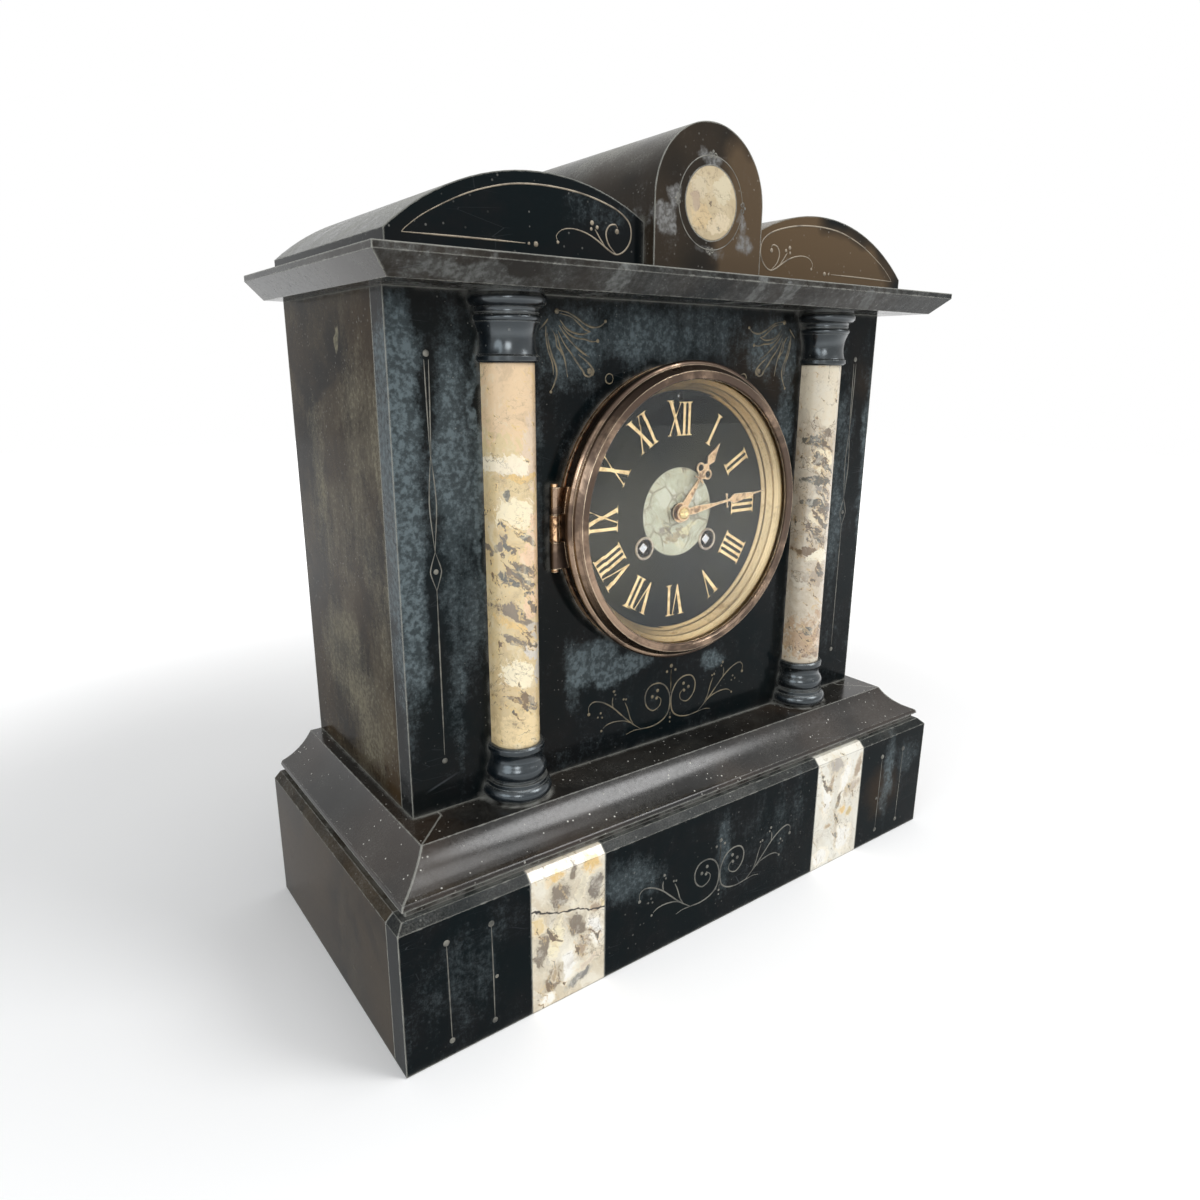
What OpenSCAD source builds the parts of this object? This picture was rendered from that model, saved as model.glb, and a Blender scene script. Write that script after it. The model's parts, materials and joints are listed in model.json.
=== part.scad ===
// Slate mantel clock: a black slate case with marble columns and a round striking movement.
// Millimetres. +Z is up, -Y is the front and +X is to the right of someone facing the dial.
// The origin is the middle of the underside. Every slate box is built of flat slabs.

/* [Plinth] */
// How far the plinth stands out beyond the body at each side
plinth_out = 27.8; // [24:0.1:38]
// Depth of the plinth from front to back
plinth_d = 166.6; // [162:0.1:180]
// Height of the plinth
plinth_h = 72.5; // [55:0.5:90]
// Bevel along the top edges of the plinth
arris = 3.5; // [1:0.5:4]
// Thickness of the slate slabs of the case
slab_t = 12; // [9:0.5:13]
// Width of each marble strip in the plinth
strip_w = 41; // [30:1:50]
// Distance of each marble strip from the middle of the plinth
strip_x = 97; // [85:1:110]
// Thickness of the marble strips
strip_t = 6; // [4:0.5:7]

/* [Moulding] */
// Ledge of the plinth left bare around the moulding
ledge = 4.1; // [3:0.1:6]
// Height of the moulding
moulding_h = 19.5; // [17:0.5:24]
// How far the moulding draws in from bottom to top
moulding_run = 17.6; // [15:0.1:20]
// Upright fillet at the foot of the moulding
fillet_h = 3.5; // [2:0.5:5]
// How far the fillet stands back under the round edge
fillet_in = 2; // [1:0.1:3]
// Radius of the round edge above the fillet
bead_r = 3.1; // [2:0.1:4]

/* [Body] */
// Width of the body
body_w = 304.4; // [296:0.2:308]
// Depth of the body
body_d = 123; // [118:1:126]
// Height of the body
body_h = 226.8; // [222:0.2:245]

/* [Cornice] */
// Overhang of the cornice's underside at each side
cornice_side = 9.3; // [5:0.1:14]
// Overhang of the cornice's underside at the front
cornice_front = 27.4; // [24:0.1:34]
// Size of the bevel that spreads the cornice
cornice_bevel = 8.1; // [5:0.1:10]
// Height of the flat band above the bevel
cornice_band = 2.7; // [2:0.1:5]

/* [Pediment] */
// Width of the round-topped centre block
block_w = 66.4; // [56:0.2:76]
// Depth of the centre block
block_d = 140.4; // [130:0.2:146]
// Height of the straight sides of the centre block
block_side_h = 30.9; // [26:0.1:40]
// Width of each side segment
segment_w = 121.5; // [110:0.5:124]
// Depth of the side segments
segment_d = 133.5; // [125:0.5:140]
// Height of the side segments at their highest point
segment_h = 34.4; // [30:0.2:40]
// Radius of the curved top of the side segments
segment_r = 105; // [100:1:130]
// Distance from the centre block to the highest point of a segment
segment_peak = 51.8; // [45:0.2:60]
// Radius of the marble roundel
roundel_r = 15.5; // [10:0.5:20]
// Thickness of the marble roundel
roundel_t = 4; // [3:0.5:8]

/* [Columns] */
// Distance of each column from the middle of the clock
column_x = 100; // [97:0.5:108]
// How far the column axis stands in front of the body
column_out = 4; // [2:0.5:5]
// Radius of the marble shafts
shaft_r = 11.2; // [10:0.1:13]
// Height of the turned column bases
column_base_h = 27; // [25:0.2:32]
// Height of the turned capitals
capital_h = 28.3; // [26:0.2:34]
// Radius of the widest ring of bases and capitals
torus_r = 16.6; // [15.6:0.1:17.6]

/* [Dial] */
// Height of the dial centre above the foot of the body
dial_up = 125.5; // [118:0.5:132]
// Radius of the round openings in the front and back slabs
opening_r = 66.3; // [65:0.1:68]
// Radius of the bezel at its widest
bezel_r = 75; // [73.5:0.1:75.5]
// How far the bezel stands in front of the slate
bezel_h = 16; // [15:0.1:18]
// Radius of the dial that shows inside the sight ring
dial_seen_r = 60.3; // [59:0.1:61]
// Thickness of the slate dial
dial_t = 3.7; // [3:0.1:4]
// Radius of the marble disc in the dial
dial_centre_r = 22.8; // [20:0.2:26]
// Inner radius of the metal rims of the winding holes
winding_hole_r = 4.6; // [4:0.1:5]
// Thickness of the bevelled glass in the middle
glass_t = 3.8; // [3.2:0.1:4]

/* [Hands] */
// Length of the minute hand from its centre
minute_len = 58; // [50:0.5:58.5]
// Length of the hour hand from its centre
hour_len = 42; // [36:0.5:44]
// Minutes that the hands show
shown_minutes = 73.8; // [0:0.2:720]
// Thickness of the hands
hand_t = 0.7; // [0.5:0.1:0.8]

/* [Movement] */
// Radius of the round brass plates
plate_r = 48; // [47.5:0.1:49]
// Thickness of the brass plates
plate_t = 2; // [1.8:0.1:2.5]
// Space between the plates
plate_gap = 34; // [33.5:0.5:38]
// Distance of each winding arbor to the side of the centre
winding_x = 21.4; // [21.2:0.1:21.8]
// Distance of the winding arbors below the centre
winding_drop = 16.6; // [16.2:0.1:17]
// Running clearance between a shaft and its hole
run_fit = 0.05; // [0.02:0.01:0.08]
// Length of the pendulum from its pivot to the middle of the bob
pendulum_l = 115.5; // [105:0.5:118]
// Radius of the pendulum bob
bob_r = 19; // [15:0.5:21]
// Rim radius of the bell
bell_r = 34; // [30:0.5:34.5]
// Thickness of the bell's wall
bell_t = 1.2; // [1:0.1:1.6]

/* [Going train] */
// Teeth of each great wheel on the spring barrels
great_teeth = 84; // [84:1:84]
// Gear module of the great wheels
great_m = 0.45; // [0.44:0.005:0.455]
// Leaves of the pinions that the great wheels drive
second_leaves = 12; // [12:1:12]
// Teeth of the second wheels
second_teeth = 72; // [72:1:72]
// Gear module of the second wheel of the going train
second_m = 0.4; // [0.395:0.005:0.405]
// Leaves of the centre pinion
centre_leaves = 10; // [10:1:10]
// Teeth of the centre wheel
centre_teeth = 84; // [80:1:84]
// Gear module of the centre wheel
centre_m = 0.3; // [0.28:0.005:0.3]
// Leaves of the third and escape pinions
small_leaves = 7; // [6:1:7]
// Teeth of the third wheel
third_teeth = 77; // [72:1:78]
// Gear module of the third wheel and of the warning wheel
third_m = 0.28; // [0.26:0.005:0.28]
// Teeth of the escape wheel
escape_teeth = 40; // [32:1:42]
// Radius of the escape wheel
escape_r = 7; // [6.4:0.1:7.4]

/* [Striking train] */
// Gear module of the second wheel of the striking train
strike_second_m = 0.36; // [0.35:0.005:0.36]
// Leaves of the pinions of the pin wheel and the locking wheel
pin_leaves = 8; // [8:1:8]
// Teeth of the pin wheel
pin_teeth = 64; // [60:1:64]
// Gear module of the pin wheel
pin_m = 0.32; // [0.31:0.005:0.32]
// Lifting pins on the pin wheel
lifting_pins = 8; // [6:1:10]
// Teeth of the locking wheel
locking_teeth = 56; // [54:1:56]
// Gear module of the locking wheel
locking_m = 0.3; // [0.29:0.005:0.3]
// Teeth of the warning wheel
warning_teeth = 50; // [48:1:50]
// Radius that the fly's blades sweep
fly_r = 6.6; // [5:0.1:6.7]

/* [Motion work] */
// Leaves of the cannon pinion
cannon_leaves = 12; // [12:1:12]
// Teeth of the minute wheel
minute_teeth = 36; // [36:1:36]
// Leaves of the minute pinion
minute_leaves = 10; // [10:1:10]
// Teeth of the hour wheel
hour_teeth = 40; // [40:1:40]
// Gear module of the minute wheel
motion_m = 0.4; // [0.38:0.01:0.42]

/* [Hidden] */
$fn = 96;

// Heights of the main courses, and the planes that they stand on
back_y = plinth_d / 2;
face_y = back_y - body_d;
moulding_y = ledge - plinth_d / 2;
plinth_w = body_w + 2 * plinth_out;
moulding_x = plinth_w / 2 - ledge;
body_z = plinth_h + moulding_h;
body_top = body_z + body_h;
cornice_h = cornice_bevel + cornice_band;
cornice_top = body_top + cornice_h;
floor_t = slab_t;
inner_x = body_w / 2 - slab_t;
block_z = cornice_top + block_side_h;

// The dial assembly: w counts forwards from the face of the slate
dial_z = body_z + dial_up;
dial_w = -0.3;
frame_w = 2;
frame_r = bezel_r - 1.5;
frame_tube_r = opening_r - 0.3;
dial_r = frame_tube_r - 1.7;
shoulder_r = dial_r - 4.3;
frame_back_w = -12.5;
door_gap = 0.3;
rebate_r = bezel_r - 5.8;
lip_r = bezel_r - 8.8;
lip_w = bezel_h - 2.3;
glass_back_w = lip_w - 0.2 - glass_t + 0.9;
glass_r = rebate_r - 0.2;
hinge_x = bezel_r + 2;
hinge_w = 3.2;
knuckle_r = 2.2;
knuckle_l = 12.4;
hinge_pin_r = 0.9;
hour_hand_w = 1.9;
minute_hand_w = 4.1;
minute_angle = shown_minutes * 6;
hour_angle = shown_minutes / 2;
regulator_up = 57;

// The movement: u counts backwards from the inner face of the front plate
plate_front_y = face_y - frame_back_w;
inner_y = plate_front_y + plate_t;
rear_inner_y = inner_y + plate_gap;
rear_y = rear_inner_y + plate_t;
wheel_t = 1.1;
second_u = 4;
centre_u = 7;
great_u = 9.5;
great_t = 2.5;
pin_u = 12;
third_u = 18;
locking_u = 20.4;
warning_u = 24.6;
escape_u = 27;
arbor_r = 0.6;
pivot_r = 0.4;
end_shake = 0.15;
centre_arbor_r = 1;
winding_r = 2.6;
winding_pivot_r = 2;
winding_square = 3.9;
drum_r = great_m * great_teeth / 2 - 1.3;
drum_wall = 0.8;

// Centre distances and places of the arbors, seen from the front, from the movement's centre
function polar(p, d, a) = p + d * [cos(a), sin(a)];
function apart(n1, n2, m) = m * (n1 + n2) / 2;
function bearing(p, q) = atan2(q[1] - p[1], q[0] - p[0]);
// Point at distance a from p and b from q, to the left of the line from p to q
function meet(p, a, q, b) =
    let (d = norm(q - p), k = (a * a - b * b + d * d) / (2 * d))
    polar(polar(p, k, bearing(p, q)), sqrt(a * a - k * k), bearing(p, q) + 90);

centre = [0, 0];
time_barrel_at = [winding_x, -winding_drop];
strike_barrel_at = [-winding_x, -winding_drop];
great_gap = apart(great_teeth, second_leaves, great_m);
second_at = meet(centre, apart(second_teeth, centre_leaves, second_m), time_barrel_at, great_gap);
third_at = polar(centre, apart(centre_teeth, small_leaves, centre_m), 80);
// The escape arbor stands straight above the centre
escape_gap = apart(third_teeth, small_leaves, third_m);
escape_at = [0, third_at[1] + sqrt(escape_gap * escape_gap - third_at[0] * third_at[0])];
anchor_at = escape_at + [0, escape_r * sqrt(2)];
strike_second_at = polar(strike_barrel_at, great_gap, 78.7);
pin_at = polar(strike_second_at, apart(second_teeth, pin_leaves, strike_second_m), 70);
locking_at = polar(pin_at, apart(pin_teeth, pin_leaves, pin_m), 145.6);
warning_at = polar(locking_at, apart(locking_teeth, small_leaves, locking_m), 30.5);
fly_at = polar(warning_at, apart(warning_teeth, small_leaves, third_m), 60);
hammer_at = [-41, 10];
minute_wheel_at = polar(centre, apart(cannon_leaves, minute_teeth, motion_m), 60);
hour_m = motion_m * (cannon_leaves + minute_teeth) / (minute_leaves + hour_teeth);
bell_at = [-16, -12];
pillar_angles = [-8, 58, 122, 188];
pillar_ring_r = plate_r - 4.5;
ear_angles = [90, 210, 330];
strap_r = frame_tube_r - 4;

// Angle of a gear's first tooth that meshes with a gear at the bearing th
function meshed(phase, n1, n2, th) = th + 180 + ((th - phase) * n1 / 360 - 0.5) * 360 / n2;

// The pendulum and what hangs behind the plates
pendulum_y = rear_y + 6.2;
rod_r = 1.1;
crutch_l = 38;
bell_rim_y = rear_y + 10.4;
bell_depth = 20;
pivot_z = dial_z + anchor_at[1];

// The rear bezel and its door
rear_flange_t = 2;
rear_flange_r = frame_tube_r + 7;
rear_seat_y = back_y - rear_flange_t;
rear_tube_in = frame_tube_r - 1.5;
lug_t = 2;
lug_y = rear_seat_y - 3.3;
rear_hinge_x = rear_tube_in + 2.5;
rear_hinge_y = back_y - 1.7;
rear_knuckle_r = 1.5;
rear_knuckle_l = 8;
rear_door_y = rear_seat_y - 0.9;
rear_door_t = 1.2;

// Tooth shapes: height and depth in modules, then half widths in pitches at tip, middle and root
WHEEL_TOOTH = [0.8, 1.1, 0.09, 0.21, 0.25];
LEAF = [0.7, 1.2, 0.08, 0.17, 0.19];

SLATE = [0.07, 0.075, 0.085];
SLATE_SATIN = [0.13, 0.125, 0.12];
MARBLE = [0.80, 0.72, 0.58];
BRASS = [0.78, 0.62, 0.32];
OLD_BRASS = [0.36, 0.25, 0.17];
GILT = [0.83, 0.66, 0.36];
COPPER_GILT = [0.80, 0.55, 0.40];
STEEL = [0.45, 0.46, 0.48];

// Extrudes a drawing, X across and Z up, from y0 back to y1
module plate_xz(y0, y1) {
    translate([0, y1, 0]) rotate([90, 0, 0]) linear_extrude(y1 - y0) children();
}

// Extrudes a drawing, Y across and Z up, from x0 to x1
module plate_yz(x0, x1) {
    translate([x0, 0, 0]) rotate([90, 0, 90]) linear_extrude(x1 - x0) children();
}

// Turns a profile of radius and forward distance about an axis along Y
module turned(y) {
    translate([0, y, 0]) rotate([90, 0, 0]) rotate_extrude() children();
}

// A plain rod along Y
module rod(r, y0, y1) {
    translate([0, y1, 0]) rotate([90, 0, 0]) cylinder(r = r, h = y1 - y0);
}

// A block between two corners
module block(lo, hi) {
    translate(lo) cube(hi - lo);
}

module both_sides() {
    children();
    mirror([1, 0, 0]) children();
}

// Moves to an arbor, given from the movement's centre
module at(p) {
    translate([p[0], 0, dial_z + p[1]]) children();
}

module at_dial() {
    translate([0, 0, dial_z]) children();
}

// Case

// Outer form of the plinth, with its top edges bevelled at the front and sides
module plinth_form() {
    w = plinth_w / 2;
    d = plinth_d / 2;
    h = plinth_h;
    intersection() {
        plate_xz(-d, d)
            polygon([[-w, 0], [w, 0], [w, h - arris], [w - arris, h], [arris - w, h], [-w, h - arris]]);
        plate_yz(-w, w)
            polygon([[-d, 0], [d, 0], [d, h], [arris - d, h], [-d, h - arris]]);
    }
}

// The room that the marble strips fill in the face of the plinth
module strip_room(grow) {
    y = -plinth_d / 2;
    both_sides()
        block([strip_x - strip_w / 2, y - grow, -grow], [strip_x + strip_w / 2, y + strip_t, plinth_h + grow]);
}

module plinth_front() {
    y = -plinth_d / 2;
    color(SLATE) difference() {
        intersection() {
            plinth_form();
            block([-plinth_w, y - 1, -1], [plinth_w, y + slab_t, plinth_h + 1]);
        }
        strip_room(1);
    }
}

module plinth_sides() {
    y = -plinth_d / 2 + slab_t;
    color(SLATE) both_sides() intersection() {
        plinth_form();
        block([plinth_w / 2 - slab_t, y, -1], [plinth_w, back_y, plinth_h + 1]);
    }
}

module plinth_back() {
    w = plinth_w / 2 - slab_t;
    color(SLATE) block([-w, back_y - slab_t, 0], [w, back_y, plinth_h]);
}

module marble_strips() {
    color(MARBLE) intersection() {
        plinth_form();
        strip_room(0);
    }
}

// Profile of the moulding: outwards from its top arris, and up from its foot
module moulding_profile(inward) {
    drop = moulding_h - fillet_h - bead_r;
    out = moulding_run - bead_r;
    chord = norm([out, drop]);
    cove_r = 1.57 * chord;
    rise = sqrt(cove_r * cove_r - chord * chord / 4);
    cove_x = out / 2 + rise * drop / chord;
    cove_z = moulding_h - drop / 2 + rise * out / chord;
    difference() {
        translate([-inward, 0]) square([moulding_run + inward, moulding_h]);
        translate([cove_x, cove_z]) circle(r = cove_r);
        translate([moulding_run - fillet_in, -1]) square([fillet_in + 1, fillet_h + 1]);
        difference() {
            translate([out, fillet_h]) square([bead_r + 1, bead_r + 1]);
            translate([out, fillet_h]) circle(r = bead_r);
        }
    }
}

module moulding_front() {
    x = moulding_x;
    reach = moulding_x - inner_x;
    y = moulding_y;
    color(SLATE_SATIN) intersection() {
        translate([0, y + moulding_run, plinth_h]) plate_yz(-x, x)
            mirror([1, 0]) moulding_profile(face_y + slab_t - y - moulding_run);
        translate([0, 0, plinth_h - 1]) linear_extrude(moulding_h + 2) polygon([
            [-x, y], [x, y], [x - reach, y + reach], [x - reach, face_y + slab_t],
            [reach - x, face_y + slab_t], [reach - x, y + reach]]);
    }
}

module moulding_sides() {
    x = moulding_x;
    reach = moulding_x - inner_x;
    color(SLATE_SATIN) both_sides() intersection() {
        translate([x - moulding_run, 0, plinth_h]) plate_xz(moulding_y, back_y)
            moulding_profile(reach - moulding_run);
        translate([0, 0, plinth_h - 1]) linear_extrude(moulding_h + 2) polygon([
            [x, moulding_y], [x, back_y], [x - reach, back_y], [x - reach, moulding_y + reach]]);
    }
}

module case_floor() {
    color(SLATE)
        block([-inner_x, face_y + slab_t, plinth_h], [inner_x, back_y, plinth_h + floor_t]);
}

module case_front() {
    color(SLATE) difference() {
        block([-body_w / 2, face_y, body_z], [body_w / 2, face_y + slab_t, body_top]);
        at_dial() rod(opening_r, face_y - 1, face_y + slab_t + 1);
    }
}

module case_sides() {
    color(SLATE) both_sides()
        block([inner_x, face_y + slab_t, body_z], [body_w / 2, back_y, body_top]);
}

module case_back() {
    color(SLATE) difference() {
        block([-inner_x, back_y - slab_t, plinth_h + floor_t], [inner_x, back_y, body_top]);
        at_dial() rod(opening_r, back_y - slab_t - 1, back_y + 1);
        at_dial() rod(rear_flange_r + 0.3, rear_seat_y, back_y + 1);
        at_dial() rear_hinge_room();
    }
}

module cornice() {
    w = body_w / 2 + cornice_side;
    b = cornice_bevel;
    y = face_y - cornice_front;
    z = body_top;
    color(SLATE) intersection() {
        plate_xz(y - b, back_y) polygon([
            [-w, z], [w, z], [w + b, z + b], [w + b, cornice_top], [-w - b, cornice_top], [-w - b, z + b]]);
        plate_yz(-w - b, w + b) polygon([
            [y, z], [back_y, z], [back_y, cornice_top], [y - b, cornice_top], [y - b, z + b]]);
    }
}

module pediment_segments() {
    x = block_w / 2;
    color(SLATE) both_sides() plate_xz(back_y - segment_d, back_y) intersection() {
        translate([x, cornice_top]) square([segment_w, segment_h]);
        translate([x + segment_peak, cornice_top + segment_h - segment_r]) circle(r = segment_r, $fn = 360);
    }
}

module centre_block() {
    y = back_y - block_d;
    color(SLATE) difference() {
        plate_xz(y, back_y) union() {
            translate([-block_w / 2, cornice_top]) square([block_w, block_side_h]);
            intersection() {
                translate([0, block_z]) circle(r = block_w / 2, $fn = 180);
                translate([-block_w / 2, cornice_top]) square([block_w, block_side_h + block_w / 2]);
            }
        }
        translate([0, 0, block_z]) rod(roundel_r + 0.1, y - 1, y + roundel_t);
    }
}

module roundel() {
    y = back_y - block_d;
    color(MARBLE) translate([0, 0, block_z]) rod(roundel_r, y, y + roundel_t);
}

// Columns

// Half-engaged turned piece: half round in front of the column's axis, straight from there to the slate
module engaged(z) {
    both_sides() translate([column_x, face_y - column_out, z]) {
        intersection() {
            rotate_extrude() children();
            block([-2 * torus_r, -2 * torus_r, -1], [2 * torus_r, 0, body_h]);
        }
        plate_xz(0, column_out) {
            children();
            mirror([1, 0]) children();
        }
    }
}

module column_shafts() {
    h = body_h - column_base_h - capital_h;
    color(MARBLE) engaged(body_z + column_base_h) square([shaft_r, h]);
}

// Half profile of a ring with bevelled edges, standing on z
module ring_profile(z, h) {
    r = shaft_r + 2.1;
    polygon([[0, z], [r - 0.8, z], [r, z + 0.8], [r, z + h - 0.8], [r - 0.8, z + h], [0, z + h]]);
}

// Half profile of a capital, from its ring at the shaft to the torus under the cornice
module capital_profile() {
    ring_h = 3.4;
    roll = 3;
    bead = 1.65;
    roll_z = capital_h - 0.5 - roll;
    bead_z = roll_z - roll - 2.6 - bead;
    scotia_z = roll_z - roll - 1.3;
    cove = 15.4;
    waist_z = ring_h + 5.27;
    ring_profile(0, ring_h);
    difference() {
        translate([0, ring_h]) square([shaft_r + 2.2, bead_z - ring_h]);
        translate([shaft_r + 0.4 + cove, waist_z]) circle(r = cove, $fn = 240);
    }
    translate([shaft_r + 2.9 - bead, bead_z]) circle(r = bead);
    translate([0, bead_z - bead]) square([shaft_r + 2.9 - bead, 2 * bead]);
    difference() {
        translate([0, bead_z]) square([torus_r - roll + 0.4, roll_z - bead_z]);
        translate([torus_r - roll + 1.4, scotia_z]) circle(r = 1.8);
        translate([shaft_r + 1.9, bead_z - 1]) square([torus_r, scotia_z - bead_z + 0.2]);
    }
    translate([torus_r - roll, roll_z]) circle(r = roll);
    translate([0, roll_z - roll]) square([torus_r - roll, 2 * roll]);
    translate([0, roll_z]) square([torus_r - 1.2, capital_h - roll_z]);
    square([shaft_r, capital_h]);
}

module column_capitals() {
    color(SLATE) engaged(body_top - capital_h) capital_profile();
}

// Half profile of a base: torus, fillet and groove, then a swelling that draws in to the ring at the shaft
module base_profile() {
    roll = 3.8;
    fillet_z = 2 * roll + 1.6;
    groove_z = fillet_z + 1.8;
    ring_h = 3.4;
    ring_z = column_base_h - ring_h;
    cove = 5.5;
    swell = 6;
    cove_at = [shaft_r + 0.9 + cove, ring_z - 3];
    swell_x = shaft_r + 3.1 - swell;
    dx = cove_at[0] - swell_x;
    swell_at = [swell_x, cove_at[1] - sqrt((cove + swell) * (cove + swell) - dx * dx)];
    turn = swell_at + (cove_at - swell_at) * swell / (cove + swell);
    translate([torus_r - roll, roll]) circle(r = roll);
    square([torus_r - roll, 2 * roll]);
    translate([0, roll]) square([shaft_r + 3.3, fillet_z - roll]);
    translate([0, roll]) square([shaft_r + 1.5, groove_z]);
    intersection() {
        translate(swell_at) circle(r = swell);
        translate([0, groove_z]) square([torus_r, cove_at[1] - groove_z]);
    }
    difference() {
        translate([0, turn[1]]) square([turn[0] + 0.1, column_base_h - 1 - turn[1]]);
        translate(cove_at) circle(r = cove);
    }
    square([shaft_r, column_base_h]);
    ring_profile(ring_z, ring_h);
}

module column_bases() {
    color(SLATE) engaged(body_z) base_profile();
}

// Dial and bezel

// A hinge knuckle on the bezel's hinge line, from z0 to z1
module knuckle(z0, z1) {
    translate([-hinge_x, face_y - hinge_w, z0]) cylinder(r = knuckle_r, h = z1 - z0);
}

module hinge_bore() {
    translate([-hinge_x, face_y - hinge_w, -2 * knuckle_l])
        cylinder(r = hinge_pin_r + run_fit, h = 4 * knuckle_l);
}

module dial_frame() {
    half = knuckle_l / 2;
    color(BRASS) at_dial() difference() {
        union() {
            turned(face_y) polygon([
                [dial_r + 0.1, dial_w - dial_t], [dial_r + 0.1, frame_w], [frame_r, frame_w],
                [frame_r, 0], [frame_tube_r, 0], [frame_tube_r, frame_back_w],
                [shoulder_r, frame_back_w], [shoulder_r, dial_w - dial_t]]);
            block([-hinge_x, face_y - frame_w + 0.1, -half], [-frame_r + 1, face_y, half]);
            knuckle(-half, half);
        }
        hinge_bore();
    }
}

// Profile of the bezel: a rolled edge, a bead at its widest and a lip over the glass
module bezel_profile() {
    foot_w = frame_w + door_gap;
    bead = 2;
    lip_roll = 1.1;
    polygon([
        [rebate_r, foot_w], [frame_r - 1, foot_w], [frame_r - 0.3, foot_w + 0.7],
        [frame_r - 0.3, foot_w + 3.6], [bezel_r - bead, foot_w + 5.6], [bezel_r - bead, bezel_h - 4.6],
        [bezel_r - bead - 0.6, bezel_h - 3], [lip_r + 4, bezel_h], [lip_r + lip_roll, bezel_h],
        [lip_r + lip_roll, bezel_h - 2 * lip_roll], [lip_r, lip_w + 0.4], [lip_r, lip_w], [rebate_r, lip_w]]);
    translate([bezel_r - bead, bezel_h - 6.2]) circle(r = bead);
    translate([lip_r + lip_roll, bezel_h - lip_roll]) circle(r = lip_roll);
}

module bezel_ring() {
    gap = 0.3;
    inner = knuckle_l / 2 + gap;
    color(OLD_BRASS) at_dial() difference() {
        union() {
            turned(face_y) bezel_profile();
            for (z = [inner, -inner - knuckle_l]) {
                knuckle(z, z + knuckle_l);
                block([-hinge_x, face_y - hinge_w - knuckle_r, z], [-rebate_r - 1, face_y - frame_w - 0.6, z + knuckle_l]);
            }
        }
        hinge_bore();
    }
}

module bezel_hinge_pin() {
    half = 1.5 * knuckle_l + 0.5;
    cap_h = 1.4;
    color(BRASS) at_dial() translate([-hinge_x, face_y - hinge_w, 0]) {
        translate([0, 0, -half]) cylinder(r = hinge_pin_r, h = 2 * half);
        for (z = [half, -half - cap_h]) translate([0, 0, z]) cylinder(r = knuckle_r - 0.5, h = cap_h);
    }
}

module bezel_glass() {
    bevel_r = lip_r - 7.7;
    edge_t = glass_t - 0.9;
    front_w = glass_back_w + glass_t;
    color([0.8, 0.9, 0.9, 0.3]) at_dial() turned(face_y) polygon([
        [0, glass_back_w], [glass_r, glass_back_w], [glass_r, glass_back_w + edge_t],
        [lip_r, glass_back_w + edge_t], [bevel_r, front_w], [0, front_w]]);
}

// The gilt sloping ring behind the glass, turned in steps
module sight_ring() {
    skin = 0.8;
    top_w = glass_back_w;
    low_w = dial_w + 0.9;
    outer_r = rebate_r - 0.2;
    throat_r = lip_r - 0.2;
    span = throat_r - dial_seen_r;
    fall = top_w - low_w - 0.6;
    color(GILT) at_dial() turned(face_y) polygon([
        [outer_r, top_w], [throat_r, top_w], [throat_r, top_w - 0.6],
        [dial_seen_r + span * 0.62, top_w - 0.6 - fall * 0.30],
        [dial_seen_r + span * 0.55, top_w - 0.6 - fall * 0.42],
        [dial_seen_r + span * 0.24, top_w - 0.6 - fall * 0.72],
        [dial_seen_r + span * 0.20, top_w - 0.6 - fall * 0.82],
        [dial_seen_r, low_w], [dial_seen_r + skin, low_w - 0.1],
        [dial_seen_r + span * 0.30 + skin, top_w - 0.6 - fall * 0.82],
        [throat_r + skin, top_w - 1.6], [outer_r, top_w - 1.6]]);
}

// Holes for the winding keys, through the dial and its marble disc
module winding_holes() {
    for (p = [time_barrel_at, strike_barrel_at])
        at(p) rod(winding_hole_r + 0.5, face_y - 1, face_y - dial_w + dial_t + 1);
}

module dial_plate() {
    y0 = face_y - dial_w;
    color(SLATE) difference() {
        at_dial() rod(dial_r, y0, y0 + dial_t);
        at_dial() rod(dial_centre_r, y0 - 1, y0 + dial_t + 1);
        winding_holes();
        at([0, regulator_up]) rod(1.5, y0 - 1, y0 + dial_t + 1);
    }
}

module dial_centre() {
    y0 = face_y - dial_w;
    color(MARBLE) difference() {
        at_dial() rod(dial_centre_r - 0.05, y0, y0 + dial_t);
        at_dial() rod(4.2, y0 - 1, y0 + dial_t + 1);
        winding_holes();
    }
}

module winding_grommets() {
    tube_r = winding_hole_r + 0.45;
    rim_r = winding_hole_r + 1.4;
    color(STEEL) for (p = [time_barrel_at, strike_barrel_at]) at(p) turned(face_y) polygon([
        [winding_hole_r, dial_w - dial_t], [tube_r, dial_w - dial_t], [tube_r, dial_w],
        [rim_r, dial_w], [rim_r - 0.3, dial_w + 0.5], [winding_hole_r + 0.3, dial_w + 0.6],
        [winding_hole_r, dial_w + 0.2]]);
}

// Hands, drawn upwards along Y from the centre

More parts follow.
